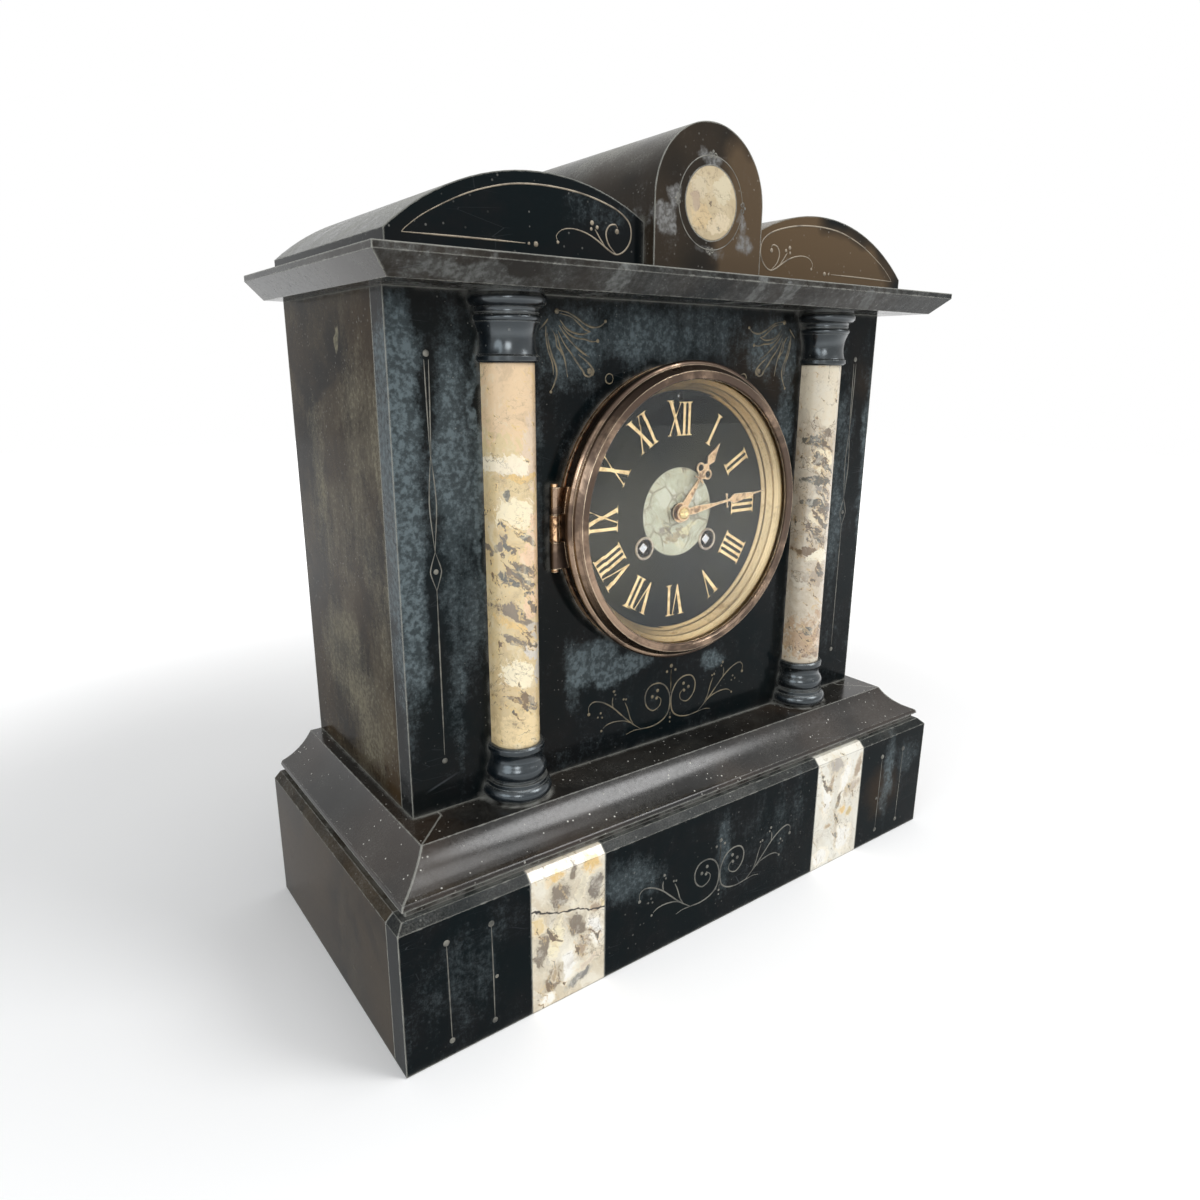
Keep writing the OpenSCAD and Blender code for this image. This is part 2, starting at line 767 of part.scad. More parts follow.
module hour_shape() {
    l = hour_len;
    eye_x = 3.1;
    difference() {
        union() {
            circle(r = 5.2);
            polygon([[-2.1, 3], [2.1, 3], [1.9, l * 0.22], [0.75, l * 0.47], [0.7, l * 0.70],
                [1.3, l * 0.72], [2.8, l * 0.78], [1.1, l * 0.90], [0.15, l],
                [-0.15, l], [-1.1, l * 0.90], [-2.8, l * 0.78], [-1.3, l * 0.72],
                [-0.7, l * 0.70], [-0.75, l * 0.47], [-1.9, l * 0.22]]);
            polygon([[-3.4, l * 0.462], [0, l * 0.476], [3.4, l * 0.462],
                [3.4, l * 0.484], [0, l * 0.508], [-3.4, l * 0.484]]);
            both_sides() {
                translate([eye_x, l * 0.60]) circle(r = 2.7);
                polygon([[0, l * 0.495], [1.5, l * 0.505], [4.4, l * 0.56], [1.5, l * 0.56], [0, l * 0.53]]);
                polygon([[0, l * 0.64], [2.4, l * 0.655], [1.5, l * 0.68], [0, l * 0.71]]);
            }
        }
        both_sides() translate([eye_x, l * 0.60]) circle(r = 1.75);
    }
}

module minute_shape() {
    l = minute_len;
    circle(r = 4.1);
    polygon([[-1.7, 3], [1.7, 3], [2.0, l * 0.14], [0.65, l * 0.40], [0.6, l * 0.56],
        [2.1, l * 0.60], [2.5, l * 0.625], [1.2, l * 0.80], [0.45, l * 0.88], [0.2, l],
        [-0.2, l], [-0.45, l * 0.88], [-1.2, l * 0.80], [-2.5, l * 0.625], [-2.1, l * 0.60],
        [-0.6, l * 0.56], [-0.65, l * 0.40], [-2.0, l * 0.14]]);
    for (s = [-1, 1]) {
        translate([s * 1.7, l * 0.525]) square([3.4, 0.7], center = true);
        translate([s * 3.2, l * 0.525]) circle(r = 0.7);
    }
}

// Lays a hand in front of the dial, turned clockwise by an angle, with a round hole
module hand(w, angle, hole_r) {
    at_dial() plate_xz(face_y - w - hand_t, face_y - w) rotate(-angle) difference() {
        children();
        circle(r = hole_r);
    }
}

module hour_hand() {
    color(COPPER_GILT) hand(hour_hand_w, hour_angle, 1.8) hour_shape();
}

module minute_hand() {
    color(COPPER_GILT) hand(minute_hand_w, minute_angle, centre_arbor_r + 0.02) minute_shape();
}

module hand_collet() {
    w = minute_hand_w + hand_t;
    color(BRASS) at_dial() turned(face_y) polygon([
        [centre_arbor_r + 0.02, w], [3, w], [3, w + 0.5], [2.2, w + 1.2], [centre_arbor_r + 0.02, w + 1.5]]);
}

// Gears

function tooth(c, pitch, rp, m, s) = [
    for (q = [[-s[1], -s[4]], [0, -s[3]], [s[0], -s[2]], [s[0], s[2]], [0, s[3]], [-s[1], s[4]]])
        polar([0, 0], rp + q[0] * m, c + q[1] * pitch)];

function gear(n, m, phase, s) = [for (i = [0:n - 1]) each tooth(phase + i * 360 / n, 360 / n, n * m / 2, m, s)];

// Twelve-sided hole that just clears a shaft
module shaft_hole(r) {
    circle(r = (r + 0.03) / cos(15), $fn = 12);
}

// One opening between two spokes of a wheel
module window(r0, r1, a0, a1) {
    steps = 5;
    polygon(concat(
        [for (i = [0:steps]) polar([0, 0], r1, a0 + (a1 - a0) * i / steps)],
        [for (i = [0:steps]) polar([0, 0], r0, a1 - 6 - (a1 - a0 - 12) * i / steps)]));
}

// A toothed wheel with five spokes, its near face u behind the front plate
module wheel(n, m, phase, u, hole_r, t = wheel_t) {
    rim_r = n * m / 2 - 1.1 * m - 1.1;
    hub_r = max(hole_r + 1.2, rim_r * 0.26);
    plate_xz(inner_y + u, inner_y + u + t) difference() {
        polygon(gear(n, m, phase, WHEEL_TOOTH));
        for (i = [0:4]) window(hub_r, rim_r, phase + i * 72 + 8, phase + i * 72 + 64);
        shaft_hole(hole_r);
    }
}

module pinion(n, m, phase, u0, u1, hole_r) {
    plate_xz(inner_y + u0, inner_y + u1) difference() {
        polygon(gear(n, m, phase, LEAF));
        shaft_hole(hole_r);
    }
}

// An arbor between the plates, with a pivot at each end
module arbor(r = arbor_r, tip_r = pivot_r) {
    rod(tip_r, plate_front_y + 0.1, rear_y - 0.1);
    rod(r, inner_y + end_shake, rear_inner_y - end_shake);
}

// Movement frame

// Every arbor that runs in both plates, with the radius of its pivots
SMALL_ARBORS = [second_at, third_at, escape_at, strike_second_at, pin_at, locking_at, warning_at, fly_at];

module pivot_holes() {
    for (p = SMALL_ARBORS) at(p) rod(pivot_r + run_fit, plate_front_y - 1, rear_y + 1);
    for (p = [time_barrel_at, strike_barrel_at])
        at(p) rod(winding_pivot_r + run_fit, plate_front_y - 1, rear_y + 1);
    for (a = pillar_angles) at(polar([0, 0], pillar_ring_r, a)) rod(1.3, plate_front_y - 1, rear_y + 1);
    at(centre) rod(centre_arbor_r + run_fit, plate_front_y - 1, rear_y + 1);
}

module front_plate() {
    ear_w = 10;
    ear_r = frame_tube_r - 2.5;
    color(BRASS) {
        difference() {
            at_dial() plate_xz(plate_front_y, inner_y) {
                circle(r = plate_r);
                for (a = ear_angles) rotate(a) translate([plate_r - 3, -ear_w / 2]) square([ear_r - plate_r + 3, ear_w]);
            }
            pivot_holes();
            at(anchor_at) rod(pivot_r + run_fit, plate_front_y - 1, inner_y + 1);
            at(hammer_at) rod(pivot_r + run_fit, plate_front_y - 1, inner_y + 1);
            at([0, regulator_up]) rod(1 + run_fit, plate_front_y - 1, inner_y + 1);
        }
        at(minute_wheel_at) rod(0.8, plate_front_y - 5.2, plate_front_y);
    }
}

module back_plate() {
    color(BRASS) difference() {
        at_dial() rod(plate_r, rear_inner_y, rear_y);
        pivot_holes();
        at(anchor_at) rod(arbor_r + run_fit, rear_inner_y - 1, rear_y + 1);
        at(hammer_at) rod(arbor_r + 0.2 + run_fit, rear_inner_y - 1, rear_y + 1);
    }
}

module plate_pillars() {
    color(BRASS) for (a = pillar_angles) at(polar([0, 0], pillar_ring_r, a)) {
        rod(2.5, inner_y, rear_inner_y);
        rod(1.25, plate_front_y - 1.2, rear_y + 1.2);
        rod(2.1, plate_front_y - 1.2, plate_front_y);
        rod(2.1, rear_y, rear_y + 1.2);
    }
}

// Spring barrels and winding

// A drum with a toothed ring round its front boss
module barrel(p, phase) {
    boss_r = drum_r - 4;
    drum_y = inner_y + great_u + great_t;
    end_y = rear_inner_y - 1;
    bore = winding_r + run_fit;
    color(BRASS) at(p) {
        plate_xz(inner_y + great_u, drum_y) difference() {
            polygon(gear(great_teeth, great_m, phase, WHEEL_TOOTH));
            shaft_hole(boss_r);
        }
        difference() {
            union() {
                rod(drum_r, drum_y, end_y);
                rod(boss_r, inner_y + great_u, drum_y + 1);
            }
            rod(drum_r - drum_wall, drum_y + drum_wall, end_y - drum_wall);
            rod(bore, inner_y, rear_y);
        }
    }
}

// Flat spiral of spring steel wound between two radii, with its turns evenly apart
function spiral(r0, r1, turns, steps) = [
    for (i = [0:turns * steps]) polar([0, 0], r0 + (r1 - r0) * i / (turns * steps), 360 * i / steps)];

module mainspring(p) {
    turns = 9;
    steps = 20;
    strip = 0.45;
    in_r = winding_r + 1.4;
    out_r = drum_r - drum_wall - 0.15;
    y0 = inner_y + great_u + great_t + drum_wall + 0.4;
    y1 = rear_inner_y - 1 - drum_wall - 0.4;
    inside = spiral(in_r - strip, out_r - strip, turns, steps);
    color(STEEL) at(p) plate_xz(y0, y1) polygon(concat(
        spiral(in_r, out_r, turns, steps),
        [for (i = [len(inside) - 1:-1:0]) inside[i]]));
}

// Winding arbor: barrel shaft, ratchet wheel in front of the plate and a square for the key
module winding_arbor(p) {
    ratchet_r = 8;
    ratchet_teeth = 20;
    ratchet_y = plate_front_y - 2;
    tip_y = face_y + 1.2;
    color(STEEL) at(p) {
        rod(winding_pivot_r, ratchet_y - 1.4, rear_y - 0.1);
        rod(winding_r, inner_y + end_shake, rear_inner_y - end_shake);
        rod(winding_square * 0.72, ratchet_y - 2, ratchet_y);
        plate_xz(tip_y, ratchet_y - 2) rotate(45) square(winding_square, center = true);
        plate_xz(ratchet_y, ratchet_y + 1.6) difference() {
            polygon([for (i = [0:ratchet_teeth - 1]) each [
                polar([0, 0], ratchet_r, i * 360 / ratchet_teeth),
                polar([0, 0], ratchet_r - 1.1, i * 360 / ratchet_teeth + 1)]]);
            shaft_hole(winding_pivot_r);
        }
    }
}

// A click beside each ratchet wheel, on its screw, with its nose just outside the teeth
module winding_clicks() {
    nose_r = 8.15;
    y0 = plate_front_y - 2;
    color(STEEL) for (s = [-1, 1]) at([s * winding_x, -winding_drop]) {
        plate_xz(y0, y0 + 1.6) polygon([
            [-2, nose_r + 0.1], [-1, nose_r + 0.1], [5, nose_r + 1.2], [8.2, nose_r + 0.2],
            [9.6, nose_r + 1.6], [8.6, nose_r + 3.4], [4.5, nose_r + 3.6], [-1.2, nose_r + 1.4]]);
        translate([7.4, 0, nose_r + 1.9]) rod(1.3, y0 - 0.8, y0);
        translate([7.4, 0, nose_r + 1.9]) rod(0.9, y0 + 1.6, plate_front_y);
    }
}

module time_barrel() {
    barrel(time_barrel_at, 0);
}

module strike_barrel() {
    barrel(strike_barrel_at, 0);
}

module time_mainspring() {
    mainspring(time_barrel_at);
}

module strike_mainspring() {
    mainspring(strike_barrel_at);
}

module time_winding_arbor() {
    winding_arbor(time_barrel_at);
}

module strike_winding_arbor() {
    winding_arbor(strike_barrel_at);
}

// Going train

second_phase = meshed(0, great_teeth, second_leaves, bearing(time_barrel_at, second_at));
centre_phase = meshed(0, second_teeth, centre_leaves, bearing(second_at, centre));
third_phase = meshed(0, centre_teeth, small_leaves, bearing(centre, third_at));
escape_phase = meshed(0, third_teeth, small_leaves, bearing(third_at, escape_at));

module second_wheel() {
    color(BRASS) at(second_at) {
        arbor();
        wheel(second_teeth, second_m, 0, second_u, arbor_r);
        pinion(second_leaves, great_m, second_phase, great_u - 0.8, great_u + great_t + 0.8, arbor_r);
    }
}

// The centre arbor carries the cannon pinion, which a friction fit lets slip when the hands are set
module centre_wheel() {
    cannon_y = plate_front_y - 2.3;
    pipe_r = 1.6;
    pipe_in_r = centre_arbor_r + 0.03;
    hand_y = face_y - minute_hand_w;
    color(BRASS) at(centre) {
        rod(centre_arbor_r, face_y - minute_hand_w - hand_t - 1.8, rear_y - 0.1);
        rod(centre_arbor_r + 0.5, inner_y + end_shake, inner_y + second_u - 1);
        wheel(centre_teeth, centre_m, 0, centre_u, centre_arbor_r);
        pinion(centre_leaves, second_m, centre_phase, second_u - 0.9, second_u + wheel_t + 0.9, centre_arbor_r);
        translate([0, plate_front_y - 2.3 - inner_y, 0])
            pinion(cannon_leaves, motion_m, 0, 0, 2, pipe_r);
        difference() {
            rod(pipe_r, hand_y, cannon_y + 2);
            rod(pipe_in_r, hand_y - 1, cannon_y + 3);
        }
    }
}

module third_wheel() {
    color(BRASS) at(third_at) {
        arbor();
        pinion(small_leaves, centre_m, third_phase, centre_u - 0.6, centre_u + wheel_t + 0.6, pivot_r);
        wheel(third_teeth, third_m, 0, third_u, arbor_r);
    }
}

// Hooked teeth that lean towards the turn of the wheel, seen from the front
module escape_wheel() {
    p = 360 / escape_teeth;
    root_r = escape_r - 1.1;
    color(BRASS) at(escape_at) {
        arbor();
        pinion(small_leaves, third_m, escape_phase, third_u - 0.6, third_u + wheel_t + 0.6, pivot_r);
        plate_xz(inner_y + escape_u, inner_y + escape_u + 0.8) difference() {
            polygon([for (i = [0:escape_teeth - 1]) each [
                polar([0, 0], root_r, (i - 0.45) * p),
                polar([0, 0], escape_r, (i - 0.42) * p),
                polar([0, 0], escape_r, (i - 0.3) * p),
                polar([0, 0], root_r, i * p)]]);
            for (i = [0:4]) window(1.8, root_r - 0.9, i * 72 + 8, i * 72 + 64);
            shaft_hole(arbor_r);
        }
    }
}

// Pallets astride the escape wheel, and the crutch that embraces the pendulum rod behind the plate
module anchor() {
    d = anchor_at[1] - escape_at[1];
    clear_r = escape_r + 0.7;
    y0 = inner_y + escape_u - 0.3;
    crutch_y = rear_y + 0.4;
    fork_in = rod_r + 0.2;
    color(STEEL) at(anchor_at) {
        rod(pivot_r, plate_front_y + 0.1, inner_y + 1);
        rod(arbor_r, inner_y + end_shake, crutch_y + 1.2);
        plate_xz(y0, y0 + 1.4) difference() {
            union() {
                circle(r = 1.7, $fn = 12);
                both_sides() polygon([
                    [0, 1.5], [0, -1.6], [1.2, -1.6], [clear_r * 0.62, -d + clear_r * 0.84],
                    [clear_r * 0.80, -d + clear_r * 0.62], [clear_r * 0.80 + 1.1, -d + clear_r * 0.66],
                    [4.6, -d + clear_r * 0.88]]);
            }
            shaft_hole(arbor_r);
            translate([0, -d]) circle(r = clear_r / cos(15), $fn = 12);
        }
        plate_xz(crutch_y, crutch_y + 1.2) difference() {
            union() {
                circle(r = 2, $fn = 12);
                translate([-1.2, -crutch_l]) square([2.4, crutch_l]);
            }
            shaft_hole(arbor_r);
        }
        for (s = [-1, 1]) block(
            [min(s * fork_in, s * (fork_in + 1)), crutch_y + 1.2, -crutch_l],
            [max(s * fork_in, s * (fork_in + 1)), pendulum_y + 2.2, -crutch_l + 4]);
        block([-fork_in - 1, crutch_y, -crutch_l], [fork_in + 1, crutch_y + 1.2, -crutch_l + 4]);
    }
}

// Bracket on the back plate whose slit holds the suspension spring
module suspension_cock() {
    slit = 1.4;
    arm = 3.6;
    top = regulator_up + 4;
    low = anchor_at[1] + 3;
    color(BRASS) at_dial() difference() {
        union() {
            block([-9, rear_y, low + 1.5], [9, rear_y + 2, plate_r - 2]);
            block([-arm, rear_y, low], [arm, pendulum_y + 4.4, low + 9]);
            block([-arm, rear_y + 2.2, low + 8], [arm, rear_y + 8.2, top]);
        }
        block([-slit / 2, rear_y + 2.2, low - 1], [slit / 2, pendulum_y + 5, low + 6]);
        translate([0, 0, regulator_up]) rod(1 + run_fit, rear_y, pendulum_y + 5);
    }
}

// Shaft to the small hole above twelve, with a square that a key turns to set the rate
module regulator_arbor() {
    color(STEEL) at([0, regulator_up]) {
        rod(1, face_y + 5, rear_y + 9);
        plate_xz(face_y + 1.6, face_y + 5) square(1.4, center = true);
    }
}

module pendulum_rod() {
    spring_up = 7;
    low = pendulum_l + bob_r + 7;
    hook_z = -6;
    color(BRASS) translate([0, pendulum_y, pivot_z]) {
        block([-0.15, -3, hook_z], [0.15, 3, spring_up]);
        difference() {
            block([-1.8, -3, hook_z - 4], [1.8, 3, hook_z + 1]);
            block([-0.15, -3.1, hook_z], [0.15, 3.1, hook_z + 2]);
        }
        translate([0, 0, -low]) cylinder(r = rod_r, h = low + hook_z - 3);
    }
}

module pendulum_bob() {
    half_t = 4.6;
    edge_t = 1.2;
    nut_z = -bob_r - 3.2;
    color(BRASS) translate([0, pendulum_y, pivot_z - pendulum_l]) {
        difference() {
            turned(0) polygon([[0, -half_t], [bob_r * 0.55, -half_t * 0.86], [bob_r, -edge_t],
                [bob_r, edge_t], [bob_r * 0.55, half_t * 0.86], [0, half_t]]);
            translate([0, 0, -bob_r - 1]) cylinder(r = rod_r + run_fit, h = 2 * bob_r + 2);
        }
        difference() {
            translate([0, 0, nut_z]) cylinder(r = 3.2, h = 2.9);
            translate([0, 0, nut_z - 1]) cylinder(r = rod_r + run_fit, h = 5);
        }
    }
}

// Motion work, in front of the front plate

minute_phase = meshed(0, cannon_leaves, minute_teeth, bearing(centre, minute_wheel_at));
hour_phase = meshed(0, minute_leaves, hour_teeth, bearing(minute_wheel_at, centre));

module minute_wheel() {
    y0 = plate_front_y - 1.8;
    color(BRASS) at(minute_wheel_at) {
        translate([0, y0 - inner_y, 0]) wheel(minute_teeth, motion_m, minute_phase, 0, 0.8, 1);
        translate([0, y0 - inner_y, 0]) pinion(minute_leaves, hour_m, 0, -3, 0, 0.8);
    }
}

module hour_wheel() {
    pipe_in = 1.65;
    pipe_r = 2.5;
    y0 = plate_front_y - 4.4;
    y1 = y0 + 1;
    hand_y = face_y - hour_hand_w;
    color(BRASS) at(centre) {
        plate_xz(y0, y1) difference() {
            polygon(gear(hour_teeth, hour_m, hour_phase, WHEEL_TOOTH));
            shaft_hole(pipe_r);
        }
        difference() {
            rod(pipe_r, hand_y, y1);
            rod(pipe_in, hand_y - 1, y1 + 1);
        }
    }
}

// Striking train

strike_second_phase = meshed(0, great_teeth, second_leaves, bearing(strike_barrel_at, strike_second_at));
pin_phase = meshed(0, second_teeth, pin_leaves, bearing(strike_second_at, pin_at));
locking_phase = meshed(0, pin_teeth, pin_leaves, bearing(pin_at, locking_at));
warning_phase = meshed(0, locking_teeth, small_leaves, bearing(locking_at, warning_at));
fly_phase = meshed(0, warning_teeth, small_leaves, bearing(warning_at, fly_at));
lifting_r = 8.5;
lifting_pin_r = 0.4;

module strike_second_wheel() {
    color(BRASS) at(strike_second_at) {
        arbor();
        wheel(second_teeth, strike_second_m, 0, second_u, arbor_r);
        pinion(second_leaves, great_m, strike_second_phase, great_u - 0.8, great_u + great_t + 0.8, arbor_r);
    }
}

module pin_wheel() {
    color(BRASS) at(pin_at) {
        arbor();
        pinion(pin_leaves, strike_second_m, pin_phase, second_u - 0.9, second_u + wheel_t + 0.9, arbor_r);
        wheel(pin_teeth, pin_m, 0, pin_u, arbor_r);
        for (i = [0:lifting_pins - 1]) at_pin(i) rod(lifting_pin_r, inner_y + pin_u + wheel_t, inner_y + pin_u + 5);
    }
}

module at_pin(i) {
    a = i * 360 / lifting_pins;
    translate([lifting_r * cos(a), 0, lifting_r * sin(a)]) children();
}

module locking_wheel() {
    color(BRASS) at(locking_at) {
        arbor();
        pinion(pin_leaves, pin_m, locking_phase, pin_u - 0.6, pin_u + wheel_t + 0.6, arbor_r);
        wheel(locking_teeth, locking_m, 0, locking_u, arbor_r);
    }
}

module warning_wheel() {
    color(BRASS) at(warning_at) {
        arbor();
        pinion(small_leaves, locking_m, warning_phase, locking_u - 0.6, locking_u + wheel_t + 0.6, pivot_r);
        wheel(warning_teeth, third_m, 0, warning_u, arbor_r);
    }
}

// A two-bladed air brake
module fly() {
    color(BRASS) at(fly_at) {
        arbor();
        pinion(small_leaves, third_m, fly_phase, warning_u - 0.6, warning_u + wheel_t + 0.6, pivot_r);
        for (s = [-1, 1]) block(
            [min(s * arbor_r, s * fly_r), inner_y + 4, -0.2],
            [max(s * arbor_r, s * fly_r), inner_y + 17, 0.2]);
    }
}

// Hammer: its tail reaches to the lifting pins and its head stands off the bell's rim
module hammer() {
    tail_u = pin_u + 2.4;
    tail_l = norm(pin_at - hammer_at) - lifting_r - lifting_pin_r - 0.5;
    tail_angle = bearing(hammer_at, pin_at);
    head_r = 3.2;
    head_at = polar(bell_at, bell_r + head_r + 0.6, 106) - hammer_at;
    arm_y = rear_y + 2.4;
    color(STEEL) at(hammer_at) {
        rod(pivot_r, plate_front_y + 0.1, inner_y + 1);
        rod(arbor_r + 0.2, inner_y + end_shake, arm_y + 2);
        plate_xz(inner_y + tail_u, inner_y + tail_u + 1.4) rotate(tail_angle) difference() {
            polygon([[-2, -1.6], [3, -1.6], [tail_l, -0.5], [tail_l, 0.5], [3, 1.6], [-2, 1.6]]);
            shaft_hole(arbor_r + 0.2);
        }
        plate_xz(arm_y, arm_y + 2) difference() {
            rotate(atan2(head_at[1], head_at[0])) translate([-2.2, -1.2]) square([norm(head_at) + 2.2, 2.4]);
            shaft_hole(arbor_r + 0.2);
        }
        translate([head_at[0], 0, head_at[1]]) rod(head_r, arm_y - 0.5, bell_rim_y + 5);
    }
}

bell_curve_r = (bell_r * bell_r + bell_depth * bell_depth) / (2 * bell_depth);
stand_r = 2.2;

// Shallow round bell, open towards the movement
module bell() {
    c = bell_curve_r - bell_depth;
    color(BRASS) at(bell_at) difference() {
        turned(bell_rim_y) intersection() {
            difference() {
                translate([0, c]) circle(r = bell_curve_r, $fn = 240);
                translate([0, c]) circle(r = bell_curve_r - bell_t, $fn = 240);
            }
            translate([0, -bell_depth - 1]) square([bell_r + 1, bell_depth + 1]);
        }
        rod(stand_r + 0.05, bell_rim_y, bell_rim_y + bell_depth + 5);
    }
}

module bell_stand() {
    seat_y = bell_rim_y + bell_depth - bell_t - 0.15;
    color(BRASS) at(bell_at) {
        rod(stand_r, rear_y, bell_rim_y + bell_depth + 3);
        rod(4.5, rear_y, rear_y + 1.5);
        rod(stand_r + 1.4, seat_y - 5, seat_y);
        rod(stand_r + 2, bell_rim_y + bell_depth, bell_rim_y + bell_depth + 2);
    }
}

// Fixing at the back

module case_straps() {
    t = 2;
    half = 5;
    color(BRASS) at_dial() both_sides()
        block([strap_r - t / 2, plate_front_y, -half], [strap_r + t / 2, lug_y, half]);
}

// Notch in the rear bezel and the back slab that the door's hinge turns in
module rear_hinge_room() {
    half = 1.5 * rear_knuckle_l + 0.7;
    block([rear_tube_in - 2, rear_door_y - 0.6, -half], [rear_hinge_x + 2, back_y + 1, half]);
}

module rear_bezel() {
    half = rear_knuckle_l / 2;
    color(OLD_BRASS) at_dial() difference() {
        union() {
            difference() {
                turned(rear_seat_y) polygon([
                    [rear_tube_in, -rear_flange_t], [rear_flange_r, -rear_flange_t], [rear_flange_r, 0],
                    [frame_tube_r, 0], [frame_tube_r, slab_t - rear_flange_t], [rear_tube_in, slab_t - rear_flange_t]]);
                rear_hinge_room();
            }
            translate([rear_hinge_x, rear_hinge_y, -half]) cylinder(r = rear_knuckle_r, h = 2 * half);
            block([rear_hinge_x, rear_hinge_y, -half], [rear_hinge_x + 3, back_y - 0.1, half]);
            both_sides() block([strap_r - 1.5, lug_y, -6], [rear_tube_in + 0.8, lug_y + lug_t, 6]);
        }
        translate([rear_hinge_x, rear_hinge_y, -20]) cylinder(r = 0.7 + run_fit, h = 40);
    }
}

module rear_door() {
    door_r = rear_tube_in - 0.7;
    gap = 0.3;
    inner = rear_knuckle_l / 2 + gap;
    sound_holes = 8;
    color(BRASS) at_dial() {
        difference() {
            rod(door_r, rear_door_y, rear_door_y + rear_door_t);
            for (i = [0:sound_holes - 1]) {
                a = 360 * i / sound_holes;
                translate([38 * cos(a), 0, 38 * sin(a)]) rod(6, rear_door_y - 1, rear_door_y + 3);
            }
            translate([-door_r + 9, 0, 0]) rod(4, rear_door_y - 1, rear_door_y + 3);
        }
        for (z = [inner, -inner - rear_knuckle_l]) {
            translate([rear_hinge_x, rear_hinge_y, z]) cylinder(r = rear_knuckle_r, h = rear_knuckle_l);
            block([door_r - 6, rear_door_y, z], [rear_hinge_x, rear_door_y + rear_door_t, z + rear_knuckle_l]);
        }
        translate([rear_hinge_x, rear_hinge_y, -inner - 1]) cylinder(r = 0.7, h = 2 * inner + 2);
    }
}

plinth_front();
plinth_sides();
plinth_back();
marble_strips();
moulding_front();
moulding_sides();
case_floor();
case_front();
case_sides();
case_back();
cornice();
pediment_segments();
centre_block();
roundel();
column_shafts();
column_capitals();
column_bases();
dial_frame();
bezel_ring();
bezel_glass();
sight_ring();
bezel_hinge_pin();
dial_plate();
dial_centre();
winding_grommets();
hour_hand();
minute_hand();
hand_collet();
front_plate();
back_plate();
plate_pillars();
time_barrel();
strike_barrel();
time_mainspring();
strike_mainspring();
time_winding_arbor();
strike_winding_arbor();
winding_clicks();
second_wheel();
centre_wheel();
third_wheel();
escape_wheel();
anchor();
suspension_cock();
regulator_arbor();
pendulum_rod();
pendulum_bob();
minute_wheel();
hour_wheel();
strike_second_wheel();
pin_wheel();
locking_wheel();
warning_wheel();
fly();
hammer();
bell();
bell_stand();
case_straps();
rear_bezel();
rear_door();
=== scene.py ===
# %% [markdown]
# A slate mantel clock, dressed in Blender.
# The CAD model gives every slab, wheel and hand its place. This lesson gives them their stone, metal and
# glass, and adds what is too fine for the CAD model: the gilt numerals and the lines cut into the slate.
# Each cell does one thing and prints what it made.

# %% Load the frame
import bpy, json, math
from mathutils import Matrix, Vector


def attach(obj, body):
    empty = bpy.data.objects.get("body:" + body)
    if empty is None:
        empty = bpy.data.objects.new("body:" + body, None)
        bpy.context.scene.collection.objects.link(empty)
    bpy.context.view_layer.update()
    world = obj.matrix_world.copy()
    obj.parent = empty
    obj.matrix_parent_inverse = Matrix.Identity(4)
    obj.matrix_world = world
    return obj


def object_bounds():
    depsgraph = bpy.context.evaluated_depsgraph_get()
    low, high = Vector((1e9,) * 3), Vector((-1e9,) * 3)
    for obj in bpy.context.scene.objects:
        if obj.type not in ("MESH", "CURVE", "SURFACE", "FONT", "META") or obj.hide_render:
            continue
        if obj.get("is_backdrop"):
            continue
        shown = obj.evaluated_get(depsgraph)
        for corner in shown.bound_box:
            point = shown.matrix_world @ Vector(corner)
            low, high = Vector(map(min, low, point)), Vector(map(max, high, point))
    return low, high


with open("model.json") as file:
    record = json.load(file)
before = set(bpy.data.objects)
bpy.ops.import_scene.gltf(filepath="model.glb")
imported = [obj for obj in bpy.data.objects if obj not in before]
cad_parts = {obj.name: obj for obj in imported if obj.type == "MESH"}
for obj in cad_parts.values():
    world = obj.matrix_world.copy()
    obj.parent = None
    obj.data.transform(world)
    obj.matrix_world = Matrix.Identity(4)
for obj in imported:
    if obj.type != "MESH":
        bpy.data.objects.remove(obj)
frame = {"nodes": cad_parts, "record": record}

cad_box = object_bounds()
nodes = frame["nodes"]
print("pieces from the CAD model:", len(nodes))

# %% [markdown]
# The camera stands to the left, about half a metre away, and looks slightly down. Its lens and place were
# worked out from the straight edges of the case in the photograph, so they are written down as plain numbers.

# %% Camera
camera = bpy.data.objects.new("camera", bpy.data.cameras.new("camera"))
bpy.context.scene.collection.objects.link(camera)
right = Vector((0.80519134, -0.59297873, 0.00656701))
down = Vector((-0.15450443, -0.22046353, -0.96308058))
ahead = Vector((0.57253409, 0.77444952, -0.26913317))
turn = Matrix((right, -down, -ahead)).transposed().to_4x4()
camera.matrix_world = Matrix.Translation((-0.2860, -0.3612, 0.2898)) @ turn
camera.data.sensor_width = 36
camera.data.lens = 25.22
camera.data.clip_start = 0.01
bpy.context.scene.camera = camera
print("camera at", [round(v, 3) for v in camera.location])

# %% [markdown]
# The clock stands on a pale floor in a white room. Near the clock the floor is real and takes its shadow.
# Further away, and wherever the camera or a polished surface sees it, it fades into the same white as the
# world, so no horizon shows.

# %% Helpers for nodes
def deselect():
    bpy.ops.object.select_all(action="DESELECT")

def new_material(name):
    """An empty material and its node tree"""
    m = bpy.data.materials.new(name)
    m.use_nodes = True
    m.node_tree.nodes.clear()
    return m, m.node_tree

def feed(tree, socket, value, plain=lambda v: v):
    """Links an input to another node's socket, or sets it to a value, which plain brings into its form"""
    if isinstance(value, bpy.types.NodeSocket):
        tree.links.new(value, socket)
    else:
        socket.default_value = plain(value)

